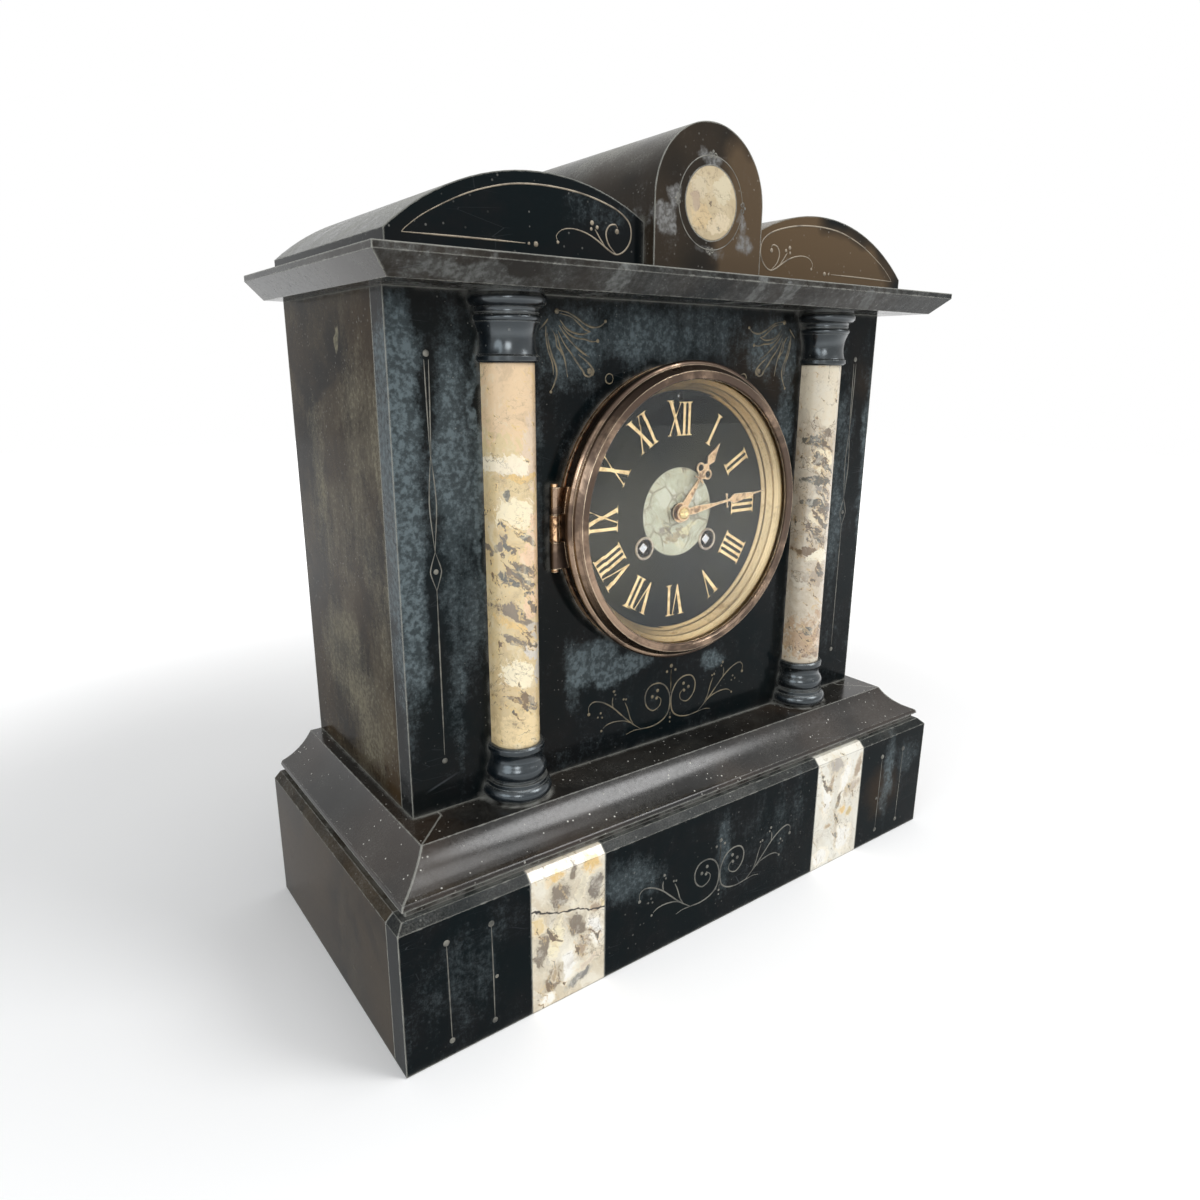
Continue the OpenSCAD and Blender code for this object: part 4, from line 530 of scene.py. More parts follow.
def marble_finish(name, left, right=None, rough=0.16, seam=0.0, coat=0.2, slope=42, tear=1.6, rim=0.0,
                  streaky=0.5, touch=None):
    """Marble of one stone, or of two on either side of the clock's middle; touch draws what is left"""
    m, tree = new_material(name)
    place = object_place(tree)
    torn = ragged(tree, ragged(tree, place, 12, 4.5), 3.5, 1.2, 0.65)
    rip = calc(tree, "MULTIPLY", calc(tree, "SUBTRACT", drift(tree, torn, 230, slope, 4.0), 0.5), tear)
    made = []
    for kind in [left] + ([right] if right else []):
        flow = span(tree, drift(tree, torn, 75, slope, 3.0), 0.42, 0.62)
        colour = lumpy(tree, torn, blend(tree, flow, kind["main"], kind["second"]), kind["lumps"], rip, rim)
        zone = laid(tree, torn, 0.0, kind["zones"], 1.0)
        smears = calc(tree, "MULTIPLY_ADD", zone, 0.15, drift(tree, torn, 300, slope, 5.5, 4.0, 0.58, 0.3))
        golden = calc(tree, "MULTIPLY", span(tree, smears, 0.60, 0.645), streaky)
        colour = blend(tree, golden, colour, kind["gold"])
        stained = blend(tree, span(tree, noise(tree, torn, 210, 3), 0.42, 0.58), kind["stain"], SMOKE)
        colour = blend(tree, span(tree, smears, 0.655, 0.69), colour, stained)
        made.append(use(tree, marble_group, Place=torn, Colour=colour, **kind["settings"]))
    colour = made[0]["Colour"]
    if right:
        colour = blend(tree, side_mask(tree, place), colour, made[1]["Colour"])
    edge = use(tree, edge_group, Place=place, Width=0.0007, Broken=0.15)
    if seam:
        colour = blend(tree, calc(tree, "MULTIPLY", edge["Wear"], seam), colour, (0.05, 0.04, 0.03))
    if touch:
        colour = touch(tree, place, torn, colour)
    surface(tree, colour, rough, edge["Normal"], made[0]["Height"], 0.0001, 0.3, Coat_Weight=coat,
            Coat_Roughness=0.06)
    return m

print("stone colours:", len(stones))

# %% Marble of the columns
def spread(rows, x0, z0, wide, tall, lump_wide, lump_tall):
    """Lumps on a piece from x0, z0 in mm; rows give places and half sizes as shares of its width and height"""
    return [(x0 + u * wide, z0 + v * tall, ru * lump_wide, rv * lump_tall, tone, *tilt)
            for u, v, ru, rv, tone, *tilt in rows]

COLUMN_X, COLUMN_FOOT, COLUMN_WIDE, COLUMN_TALL = 100, 119.0, 22.4, 171.5
def column_lumps(side, rows):
    """Lumps on the shaft left (-1) or right (1)"""
    x0 = side * COLUMN_X - COLUMN_WIDE / 2
    return spread(rows, x0, COLUMN_FOOT, COLUMN_WIDE, COLUMN_TALL, COLUMN_WIDE, COLUMN_TALL)

left_shaft = column_lumps(-1, [
    (0.5, 0.93, 1.2, 0.16, (0.72, 0.53, 0.33)), (0.85, 0.80, 0.5, 0.12, (0.68, 0.53, 0.38)),
    (0.25, 0.76, 0.5, 0.035, (0.84, 0.74, 0.56)), (0.5, 0.725, 0.45, 0.012, GOLD, 6),
    (0.35, 0.64, 0.42, 0.055, (0.84, 0.73, 0.50), 25), (0.20, 0.685, 0.09, 0.018, SMOKE, 30),
    (0.75, 0.55, 0.38, 0.12, PEACH, 8), (0.10, 0.56, 0.07, 0.05, TAUPE, 20),
    (0.28, 0.475, 0.30, 0.035, SMOKE, 48), (0.55, 0.435, 0.10, 0.03, SMOKE, 45),
    (0.72, 0.40, 0.34, 0.05, PEACH, 30), (0.35, 0.37, 0.55, 0.02, TAUPE, 32),
    (0.3, 0.345, 0.40, 0.018, GOLD, 28), (0.75, 0.325, 0.35, 0.022, (0.50, 0.44, 0.36), 30),
    (0.35, 0.295, 0.5, 0.016, TAUPE, 30), (0.7, 0.27, 0.30, 0.03, (0.62, 0.57, 0.50)),
    (0.35, 0.21, 0.42, 0.052, (0.86, 0.76, 0.54), 10), (0.85, 0.21, 0.22, 0.05, (0.55, 0.50, 0.43)),
    (0.3, 0.135, 0.42, 0.012, UMBER, 20), (0.55, 0.118, 0.40, 0.012, TAUPE, 24),
    (0.63, 0.128, 0.05, 0.010, (0.02, 0.015, 0.01)), (0.42, 0.05, 0.75, 0.055, (0.78, 0.61, 0.34)),
    (0.98, 0.06, 0.14, 0.06, (0.36, 0.26, 0.15))])
right_shaft = column_lumps(1, [
    (0.5, 0.93, 1.2, 0.14, (0.68, 0.60, 0.46)), (0.2, 0.765, 0.22, 0.025, SMOKE, 60),
    (0.35, 0.79, 0.2, 0.02, TAUPE, 30), (0.35, 0.70, 0.36, 0.045, CREAM, 10), (0.25, 0.635, 0.28, 0.018, SMOKE),
    (0.3, 0.605, 0.2, 0.02, (0.30, 0.27, 0.23)), (0.30, 0.515, 0.28, 0.035, CREAM, 20),
    (0.15, 0.56, 0.14, 0.03, SMOKE, 70), (0.8, 0.55, 0.28, 0.10, (0.62, 0.53, 0.42)),
    (0.35, 0.445, 0.30, 0.018, TAUPE, 30), (0.42, 0.385, 0.32, 0.035, (0.80, 0.73, 0.56), 25),
    (0.15, 0.40, 0.12, 0.03, UMBER, 70), (0.5, 0.30, 0.6, 0.04, (0.40, 0.33, 0.25), 10),
    (0.7, 0.255, 0.35, 0.04, (0.58, 0.50, 0.40)), (0.5, 0.10, 0.9, 0.105, (0.47, 0.33, 0.21)),
    (0.25, 0.12, 0.16, 0.018, SMOKE, 40), (0.6, 0.07, 0.22, 0.02, (0.66, 0.50, 0.36)),
    (0.4, 0.03, 0.3, 0.018, (0.26, 0.17, 0.11)), (0.75, 0.15, 0.2, 0.025, (0.68, 0.54, 0.40))])
shaft_marble = marble_finish(
    "marble_columns",
    stone((0.66, 0.52, 0.29), (0.62, 0.47, 0.26), (0.20, 0.14, 0.085), (0.72, 0.52, 0.24),
          [(-101, 203, 14, 30, 1.3), (-102, 141, 16, 12, 1.4), (-100, 174, 15, 16, 0.9),
           (-109, 226, 6, 16, 1.0)],
          left_shaft, Veins=0.75, Mottle=0.5, Light=(0.74, 0.66, 0.48)),
    stone((0.52, 0.44, 0.33), (0.64, 0.57, 0.45), (0.17, 0.125, 0.085), (0.60, 0.44, 0.25),
          [(97, 240, 14, 26, 1.3), (98, 205, 14, 26, 1.2), (100, 176, 16, 20, 1.1), (100, 138, 20, 20, 0.7)],
          right_shaft, Veins=0.9, Mottle=0.6, Light=(0.70, 0.65, 0.54)),
    streaky=0.7)
print("lumps on the columns:", len(left_shaft) + len(right_shaft))

# %% Marble of the plinth's strips
LEFT_STRIP_X, RIGHT_STRIP_X, STRIP_WIDE, STRIP_TALL = -117.5, 76.5, 41, 72.5
def strip_lumps(x0, rows):
    """Lumps on the strip that starts at x0; they are a little larger than their rows say"""
    return spread(rows, x0, 0, STRIP_WIDE, STRIP_TALL, 50, 88)

left_strip = strip_lumps(LEFT_STRIP_X, [
    (0.5, 0.97, 0.7, 0.05, (0.76, 0.68, 0.56)), (0.3, 0.92, 0.16, 0.05, GOLD, -20),
    (0.80, 0.90, 0.14, 0.09, GOLD, 20), (0.40, 0.78, 0.21, 0.12, TAUPE, -50),
    (0.55, 0.90, 0.07, 0.09, TAUPE, 10), (0.87, 0.75, 0.13, 0.12, (0.20, 0.17, 0.135)),
    (0.66, 0.75, 0.06, 0.16, (0.66, 0.60, 0.46), 28), (0.92, 0.60, 0.10, 0.04, (0.74, 0.62, 0.38)),
    (0.14, 0.42, 0.15, 0.17, TAUPE, 8), (0.32, 0.47, 0.09, 0.20, (0.82, 0.74, 0.52), 14),
    (0.62, 0.50, 0.17, 0.13, TAUPE, -18), (0.85, 0.60, 0.09, 0.06, BRAN), (0.70, 0.34, 0.15, 0.10, BRAN),
    (0.86, 0.42, 0.13, 0.16, SNOW, -10), (0.48, 0.24, 0.12, 0.15, SNOW), (0.27, 0.19, 0.16, 0.12, UMBER, 20),
    (0.30, 0.21, 0.07, 0.05, (0.42, 0.33, 0.22)), (0.62, 0.11, 0.22, 0.045, (0.21, 0.20, 0.185), -25),
    (0.20, 0.06, 0.13, 0.05, SNOW), (0.85, 0.22, 0.10, 0.06, TAUPE),
    (0.08, 0.62, 0.12, 0.08, (0.70, 0.55, 0.30)), (0.78, 0.20, 0.25, 0.04, (0.66, 0.56, 0.44), -20)])
right_strip = strip_lumps(RIGHT_STRIP_X, [
    (0.40, 0.88, 0.20, 0.08, (0.42, 0.38, 0.33), 20), (0.30, 0.70, 0.06, 0.16, BRAN, 18),
    (0.22, 0.62, 0.12, 0.20, SNOW, -8), (0.62, 0.72, 0.13, 0.20, SNOW, 12), (0.90, 0.80, 0.07, 0.14, BRAN, 20),
    (0.80, 0.64, 0.20, 0.07, (0.44, 0.36, 0.28), -25), (0.52, 0.56, 0.05, 0.12, TAUPE, 24),
    (0.60, 0.46, 0.10, 0.05, GOLD, 10), (0.78, 0.40, 0.10, 0.04, (0.60, 0.46, 0.22), -30),
    (0.30, 0.36, 0.10, 0.03, (0.46, 0.36, 0.24)), (0.20, 0.10, 0.22, 0.08, SNOW),
    (0.70, 0.18, 0.24, 0.16, SNOW), (0.50, 0.28, 0.035, 0.20, (0.55, 0.48, 0.38), -4)])

def strip_crack(tree, place, torn, colour):
    """One thin dark crack that falls from left to right across the left strip"""
    xyz = put(tree, "ShaderNodeSeparateXYZ", {0: torn}).node.outputs
    fall = calc(tree, "ADD", xyz["Z"], calc(tree, "MULTIPLY", calc(tree, "ADD", xyz["X"], 0.1166), 0.303))
    crack = span(tree, calc(tree, "ABSOLUTE", calc(tree, "SUBTRACT", fall, 0.0527)), 0.0008, 0.0003)
    crack = calc(tree, "MULTIPLY", crack, calc(tree, "SUBTRACT", 1.0, side_mask(tree, place)))
    return blend(tree, crack, colour, (0.02, 0.016, 0.012))

strip_marble = marble_finish(
    "marble_strips",
    stone((0.62, 0.54, 0.40), (0.74, 0.69, 0.57), (0.17, 0.12, 0.08), (0.70, 0.52, 0.27),
          [(-107, 14, 14, 14, 1.4), (-88, 26, 14, 14, 1.2), (-92, 55, 14, 14, 0.9), (-108, 40, 10, 16, 0.8)],
          left_strip, Veins=0.8, Mottle=0.5, Light=(0.78, 0.74, 0.63)),
    stone((0.70, 0.66, 0.56), (0.76, 0.74, 0.66), (0.26, 0.20, 0.14), (0.62, 0.48, 0.26),
          [(88, 48, 10, 22, 1.2), (106, 44, 12, 12, 1.2), (96, 30, 6, 24, 1.2)],
          right_strip, Veins=0.75, Mottle=0.35, Vein=(0.26, 0.21, 0.15), Dark=(0.42, 0.35, 0.26)),
    seam=0.8, coat=0.1, tear=0.8, rim=0.9, slope=60, touch=strip_crack)
print("lumps on the strips:", len(left_strip) + len(right_strip))

# %% Marble of the roundel and the dial
roundel_lumps = [
    (-6, 355, 8, 6, (0.55, 0.42, 0.24), 30), (7, 366, 7, 8, (0.56, 0.49, 0.34), 20),
    (-7, 367, 6, 5, (0.52, 0.44, 0.30)), (3, 352, 9, 4, (0.60, 0.50, 0.34), -20),
    (0, 360.5, 1.0, 1.2, (0.12, 0.09, 0.06)), (-10, 361, 3, 5, BRAN)]
roundel_marble = marble_finish(
    "marble_roundel",
    stone((0.46, 0.37, 0.23), (0.52, 0.43, 0.28), (0.27, 0.19, 0.10), (0.42, 0.31, 0.16),
          [(-6, 354, 12, 10, 0.7)], roundel_lumps, Veins=0.5, Mottle=0.5, Light=(0.58, 0.50, 0.35),
          Dark=(0.30, 0.21, 0.11)),
    seam=0.5, coat=0.0, rough=0.3, streaky=0.3)

def crazing(tree, place, torn, colour):
    """The net of fine cracks in the old marble of the dial"""
    cells = put(tree, "ShaderNodeTexVoronoi", {"Vector": ragged(tree, place, 7, 1.2), "Scale": 105.0},
                feature="DISTANCE_TO_EDGE")
    shown = span(tree, noise(tree, place, 70, 3), 0.4, 0.6, 0.1, 0.75)
    return blend(tree, calc(tree, "MULTIPLY", span(tree, cells, 0.07, 0.02), shown), colour, (0.16, 0.13, 0.08))

dial_lumps = [
    (-8, 226, 12, 9, (0.42, 0.41, 0.32), 20), (9, 225, 10, 10, (0.46, 0.45, 0.37)),
    (0, 205, 15, 5, (0.22, 0.17, 0.10), -16), (8, 208, 8, 3, (0.50, 0.44, 0.26), -24),
    (-10, 209, 5, 3, (0.20, 0.17, 0.13), -30), (3, 200, 7, 3, (0.44, 0.40, 0.27)),
    (-4, 214, 6, 4, (0.40, 0.38, 0.27))]
dial_marble = marble_finish(
    "marble_dial",
    stone((0.32, 0.31, 0.22), (0.38, 0.37, 0.28), (0.13, 0.10, 0.06), (0.48, 0.40, 0.22),
          [(-4, 205, 14, 8, 1.1), (8, 212, 8, 5, 0.8)], dial_lumps, Veins=0.55, Mottle=0.4,
          Light=(0.50, 0.49, 0.40), Dark=(0.30, 0.27, 0.18), Vein=(0.12, 0.10, 0.07)),
    seam=0.6, coat=0.0, streaky=0.4, touch=crazing)
marbles = {"column_shafts": shaft_marble, "marble_strips": strip_marble, "roundel": roundel_marble,
           "dial_centre": dial_marble}
print("marble finishes:", len(marbles))

# %% [markdown]
# The brass pieces range from bright lacquered plates to a bezel gone nearly brown. One group mixes a clean
# metal with its tarnish: tarnish sits in the flats and hollows, and edges are rubbed clean.

# %% Group for brass
brass_group, gin, gout = new_group(
    "tarnish", {"Place": None, "Clean": (0.75, 0.56, 0.28), "Tarnished": (0.12, 0.07, 0.04), "Amount": 0.5,
                "Wear": 0.0, "Size": 60.0, "Polish": 0.2}, {"Colour": COLOUR, "Rough": VALUE, "Height": VALUE})
g = brass_group
clouds = noise(g, gin["Place"], gin["Size"], 5, 0.65, 0.3)
grain = noise(g, gin["Place"], 700, 3, 0.6)
dark = put(g, "ShaderNodeMapRange", {0: clouds, 1: calc(g, "SUBTRACT", 0.85, gin["Amount"]),
                                     2: calc(g, "SUBTRACT", 1.0, gin["Amount"])},
                                     interpolation_type="SMOOTHSTEP")
dark = calc(g, "MULTIPLY", dark, calc(g, "SUBTRACT", 1.0, gin["Wear"]))
colour = blend(g, dark, gin["Clean"], gin["Tarnished"])
colour = blend(g, gin["Wear"], colour, (0.80, 0.66, 0.48))
colour = blend(g, calc(g, "MULTIPLY", span(g, grain, 0.45, 0.8), 0.25), colour, (0.05, 0.035, 0.025))
g.links.new(colour, gout["Colour"])
g.links.new(calc(g, "ADD", gin["Polish"], calc(g, "MULTIPLY", dark, 0.22), clamp=True), gout["Rough"])
g.links.new(calc(g, "ADD", grain, calc(g, "MULTIPLY", clouds, 0.5)), gout["Height"])
print("group:", g.name, len(g.nodes), "nodes")

# %% Metal finishes
DIAL_Z, DIAL_Y = 0.2175, -0.0394
BELL_X, BELL_Z = -0.016, 0.2055

def metal_finish(name, clean, tarnished, amount, polish, size=60.0, rings=0.0, height=DIAL_Z, centre=0.0,
                 wear=0.8, bands=0.0):
    """A brass or steel; rings and bands are the marks of the lathe, turned about centre, height"""
    m, tree = new_material(name)
    place = object_place(tree)
    edge = use(tree, edge_group, Place=place, Width=0.0006, Broken=0.4, Soft=0.0002)
    metal = use(tree, brass_group, Place=place, Clean=clean, Tarnished=tarnished, Amount=amount, Size=size,
                Wear=calc(tree, "MULTIPLY", edge["Wear"], wear), Polish=polish)
    colour, bump = metal["Colour"], metal["Height"]
    if rings:
        flat = put(tree, "ShaderNodeVectorMath", {0: place, 1: (1, 0, 1)}, operation="MULTIPLY")
        away = put(tree, "ShaderNodeVectorMath", {0: flat, 1: (centre, 0, height)}, "Value",
                   operation="DISTANCE")
        lathe = noise(tree, put(tree, "ShaderNodeCombineXYZ", {0: away}), 1500, 3, 0.7)
        bump = calc(tree, "MULTIPLY_ADD", lathe, rings, bump)
        if bands:
            colour = blend(tree, calc(tree, "MULTIPLY", span(tree, lathe, 0.5, 0.62), bands), colour, tarnished)
    surface(tree, colour, metal["Rough"], edge["Normal"], bump, 0.00008, 0.35, metal=1.0)
    return m

metals = {
    "patinated_brass": metal_finish("patinated_brass", (0.29, 0.205, 0.145), (0.085, 0.060, 0.046), 0.45, 0.20,
                                    26.0, rings=1.2, bands=0.5),
    "gilt_brass": metal_finish("gilt_brass", (0.66, 0.50, 0.28), (0.34, 0.22, 0.10), 0.30, 0.34, 40.0,
                               rings=3.0, bands=0.6, wear=0.4),
    "hinge_brass": metal_finish("hinge_brass", (0.74, 0.48, 0.28), (0.14, 0.08, 0.05), 0.38, 0.3, 300.0),
    "hand_gilt": metal_finish("hand_gilt", (0.64, 0.43, 0.25), (0.27, 0.16, 0.09), 0.38, 0.3, 250.0),
    "grommet_metal": metal_finish("grommet_metal", (0.42, 0.36, 0.30), (0.16, 0.13, 0.11), 0.4, 0.28, 300.0),
    "movement_brass": metal_finish("movement_brass", (0.74, 0.56, 0.27), (0.36, 0.24, 0.11), 0.3, 0.2, 70.0),
    "bell_metal": metal_finish("bell_metal", (0.72, 0.60, 0.42), (0.38, 0.28, 0.18), 0.3, 0.15, 50.0, rings=1.0,
                               height=BELL_Z, centre=BELL_X),
    "steel": metal_finish("steel", (0.50, 0.50, 0.52), (0.2, 0.18, 0.17), 0.3, 0.24, 200.0),
}
print("metal finishes:", len(metals))

# %% [markdown]
# The bezel holds a thick glass with a bevelled rim. It bends light like glass, though less than real glass
# does, so that the white room doesn't hide the dial. It lets shadow rays pass, because a lamp's light would
# otherwise not reach the numerals.

# %% Glass finish
glass, tree = new_material("glass")
clear = put(tree, "ShaderNodeBsdfPrincipled", {"Base Color": (0.97, 0.985, 0.98, 1), "Roughness": 0.0,
                                               "IOR": 1.3, "Transmission Weight": 1.0})
see_through = put(tree, "ShaderNodeBsdfTransparent", {"Color": (0.93, 0.95, 0.94, 1)})
shadow = put(tree, "ShaderNodeLightPath", out="Is Shadow Ray")
put(tree, "ShaderNodeOutputMaterial", {"Surface": put(tree, "ShaderNodeMixShader",
    {0: shadow, 1: clear, 2: see_through})})
print("glass ready")

# %% Give every CAD piece its finish
slot_of = {row["node"]: row["material_slot"] for row in frame["record"]["subparts"]}
by_slot = {**other_slates, "glass": glass, **metals}
for name, obj in nodes.items():
    finish = slates.get(name) or marbles.get(name) or by_slot[slot_of[name]]
    obj.data.materials.clear()
    obj.data.materials.append(finish)
print("finishes in use:", len({o.data.materials[0].name for o in nodes.values()}))

# %% [markdown]
# The numerals on such a dial are cut by hand and gilded: thick and thin strokes with fine serifs, their
# feet towards the centre. Only three shapes are needed, an I, a V and an X. Each is drawn once as a flat
# outline, thickened a little, and copied.

# %% Outlines of the strokes
def select(parts):
    deselect()
    for p in parts:
        p.select_set(True)
    bpy.context.view_layer.objects.active = parts[0]

def face_outwards(merge=False):
    """Turns the faces of the active mesh outwards, and first merges its doubles where it has any"""
    bpy.ops.object.mode_set(mode="EDIT")
    bpy.ops.mesh.select_all(action="SELECT")
    if merge:
        bpy.ops.mesh.remove_doubles(threshold=0.000001)
    bpy.ops.mesh.normals_make_consistent(inside=False)
    bpy.ops.object.mode_set(mode="OBJECT")

def slab_from(name, outline, thick):
    """A flat outline (x, z in mm) made into a thin solid that faces the front, standing on y = 0"""
    curve = bpy.data.curves.new(name, "CURVE")
    curve.dimensions, curve.fill_mode = "2D", "BOTH"
    line = curve.splines.new("POLY")
    line.points.add(len(outline) - 1)
    for point, (x, z) in zip(line.points, outline):
        point.co = (x * mm, z * mm, 0, 1)
    line.use_cyclic_u = True
    curve.extrude = thick * mm / 2
    obj = bpy.data.objects.new(name, curve)
    bpy.context.scene.collection.objects.link(obj)
    select([obj])
    bpy.ops.object.convert(target="MESH")
    obj.rotation_euler = (math.pi / 2, 0, 0)
    obj.location = (0, -thick * mm / 2, 0)
    bpy.ops.object.transform_apply(location=True, rotation=True, scale=True)
    face_outwards(merge=True)
    return obj

NUMERAL_HALF, SERIF, NUMERAL_THICK, NUMERAL_R = 8.25, 0.28, 0.06, 0.04675
def stem(wide, serif):
    w, h, s = wide / 2, NUMERAL_HALF, SERIF
    right_side = [(w + serif, -h), (w + serif, -h + s), (w + 0.25, -h + s + 0.35), (w, -h + s + 0.9),
                  (w, h - s - 0.9), (w + 0.25, h - s - 0.35), (w + serif, h - s), (w + serif, h)]
    return right_side + [(-a, b) for a, b in reversed(right_side)]

def vee():
    h, s = NUMERAL_HALF, SERIF
    return [(-0.1, -h), (0.35, -h), (3.35, h - s), (4.5, h - s), (4.5, h), (1.9, h), (1.9, h - s),
            (2.95, h - s), (0.55, -h + 4.2), (-1.75, h - s), (-0.8, h - s), (-0.8, h), (-4.9, h), (-4.9, h - s),
            (-3.85, h - s)]

def ex():
    h, s = NUMERAL_HALF, SERIF
    return [(-4.6, -h), (-2.0, -h), (-2.0, -h + s), (-2.9, -h + s), (-0.28, -0.9), (2.0, -h + s), (1.2, -h + s),
            (1.2, -h), (5.2, -h), (5.2, -h + s), (4.2, -h + s), (0.62, 1.0), (3.0, h - s), (2.1, h - s),
            (2.1, h), (4.6, h), (4.6, h - s), (3.6, h - s), (0.30, 1.9), (-1.9, h - s), (-1.1, h - s),
            (-1.1, h), (-5.1, h), (-5.1, h - s), (-4.1, h - s), (-0.60, 0.0), (-3.5, -h + s), (-4.6, -h + s)]

print("half height of a numeral, mm:", NUMERAL_HALF)

# %% Gilt numerals
gilt_line, tree = new_material("gilt_numerals")
place = object_place(tree)
rubbed = noise(tree, place, 420, 4, 0.6)
colour = blend(tree, span(tree, rubbed, 0.42, 0.7), (0.86, 0.64, 0.34), (0.55, 0.37, 0.17))
surface(tree, colour, calc(tree, "MULTIPLY_ADD", rubbed, 0.3, 0.2), None, rubbed, 0.00005, 0.3, metal=0.55)

def join(parts, name, finish, body):
    """Joins meshes into one piece with a finish, riding on a body"""
    select(parts)
    if len(parts) > 1:
        bpy.ops.object.join()
    piece = bpy.context.view_layer.objects.active
    piece.name = piece.data.name = name
    piece.data.materials.clear()
    piece.data.materials.append(finish)
    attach(piece, body)
    return piece

def copied(obj):
    twin = obj.copy()
    twin.data = obj.data.copy()
    bpy.context.scene.collection.objects.link(twin)
    return twin

outlines = {"I": (stem(1.55, 1.15), 3.3), "V": (vee(), 8.3), "X": (ex(), 8.8)}    # each with the room it takes
glyphs = {c: (slab_from("stroke_" + c, outline, NUMERAL_THICK), wide)
          for c, (outline, wide) in outlines.items()}
numerals = ["XII", "I", "II", "III", "IIII", "V", "VI", "VII", "VIII", "IX", "X", "XI"]
strokes = []
for hour, word in enumerate(numerals):
    run = sum(glyphs[c][1] for c in word)
    at = -run / 2
    for c in word:
        shape, wide = glyphs[c]
        twin = copied(shape)
        place = Matrix.Translation(((at + wide / 2) * mm, 0, NUMERAL_R))
        swing = Matrix.Rotation(math.radians(hour * 30), 4, "Y")
        twin.data.transform(Matrix.Translation((0, DIAL_Y, DIAL_Z)) @ swing @ place)
        strokes.append(twin)
        at += wide
for shape, wide in glyphs.values():
    bpy.data.objects.remove(shape)
join(strokes, "dial_numerals", gilt_line, "case")
print("numerals:", len(numerals), "of", len(strokes), "strokes")

# %% [markdown]
# The lines in the slate are cut by hand and were once gilded. Each is drawn as a smooth curve through
# points on the face, given a thin round section that swells and tapers, and pressed nearly flat, so it
# catches the light as the edges of a shallow cut do.

# %% Engraved lines
def smooth(points, steps=6):
    """Points of a smooth curve through the given ones"""
    pts = [Vector(p) for p in points]
    pts = [2 * pts[0] - pts[1]] + pts + [2 * pts[-1] - pts[-2]]
    out = []
    for i in range(1, len(pts) - 2):
        a, b, c, d = pts[i - 1:i + 3]
        for k in range(steps):
            t = k / steps
            bend, twist = 2 * a - 5 * b + 4 * c - d, 3 * b - a - 3 * c + d
            out.append(0.5 * ((2 * b) + (c - a) * t + bend * t * t + twist * t ** 3))
    out.append(pts[-2])
    return out

TAPER, FLATNESS = 0.35, 0.3    # how thin a line ends, and how deep it is for its width
def cut_line(points, wide):
    """A thin line through points (x, z in mm) on y = 0"""
    curve = bpy.data.curves.new("cut", "CURVE")
    curve.dimensions, curve.use_fill_caps = "3D", True
    curve.bevel_depth, curve.bevel_resolution = wide / 2 * mm, 1
    run = smooth(points)
    line = curve.splines.new("POLY")
    line.points.add(len(run) - 1)
    for i, (point, p) in enumerate(zip(line.points, run)):
        point.co = (p.x * mm, 0, p.y * mm, 1)
        end = min(i, len(run) - 1 - i) / max(1, len(run) * 0.25)
        point.radius = TAPER + (1 - TAPER) * min(1, end)
    obj = bpy.data.objects.new("cut", curve)
    bpy.context.scene.collection.objects.link(obj)
    return obj

def bead(x, z, radius):
    """A small domed dot at the end of a line"""
    deselect()
    bpy.ops.mesh.primitive_uv_sphere_add(segments=12, ring_count=6, radius=radius * mm,
                                         location=(x * mm, 0, z * mm))
    return bpy.context.object

cuts = []
def engrave(name, lines, beads, y, finish, dz=0.0, sides=(1, -1)):
    """Lines and beads pressed flat onto the plane y, each with its mirror image where sides has a -1"""
    parts = [cut_line([(s * x, z + dz) for x, z in pts], wide) for pts, wide in lines for s in sides]
    parts += [bead(s * x, z + dz, r) for x, z, r in beads for s in (sides if abs(x) > 0.5 else (1,))]
    select(parts)
    bpy.ops.object.convert(target="MESH")
    for p in parts:
        p.data.transform(Matrix.Translation((0, y, 0)) @ Matrix.Diagonal((1, FLATNESS, 1, 1)) @ p.matrix_world)
        p.matrix_world = Matrix.Identity(4)
    cuts.append(join(parts, name, finish, "case"))
    face_outwards()
    bpy.ops.object.shade_smooth()

def line_finish(name, gold, grime, share):
    m, tree = new_material(name)
    place = object_place(tree)
    gone = noise(tree, place, 150, 4, 0.6)
    colour = blend(tree, span(tree, gone, 1 - share - 0.1, 1 - share + 0.15), gold, grime)
    surface(tree, colour, 0.5, None, gone, 0.0001, 0.3, metal=0.2)
    return m

faded_gilt = line_finish("faded_gilt", (0.19, 0.155, 0.095), (0.06, 0.056, 0.044), 0.5)
chalky = line_finish("chalky_line", (0.17, 0.165, 0.14), (0.055, 0.055, 0.048), 0.5)
brown_line = line_finish("brown_line", (0.27, 0.225, 0.165), (0.09, 0.072, 0.05), 0.45)

print("finishes of the lines:", [m.name for m in (faded_gilt, chalky, brown_line)])

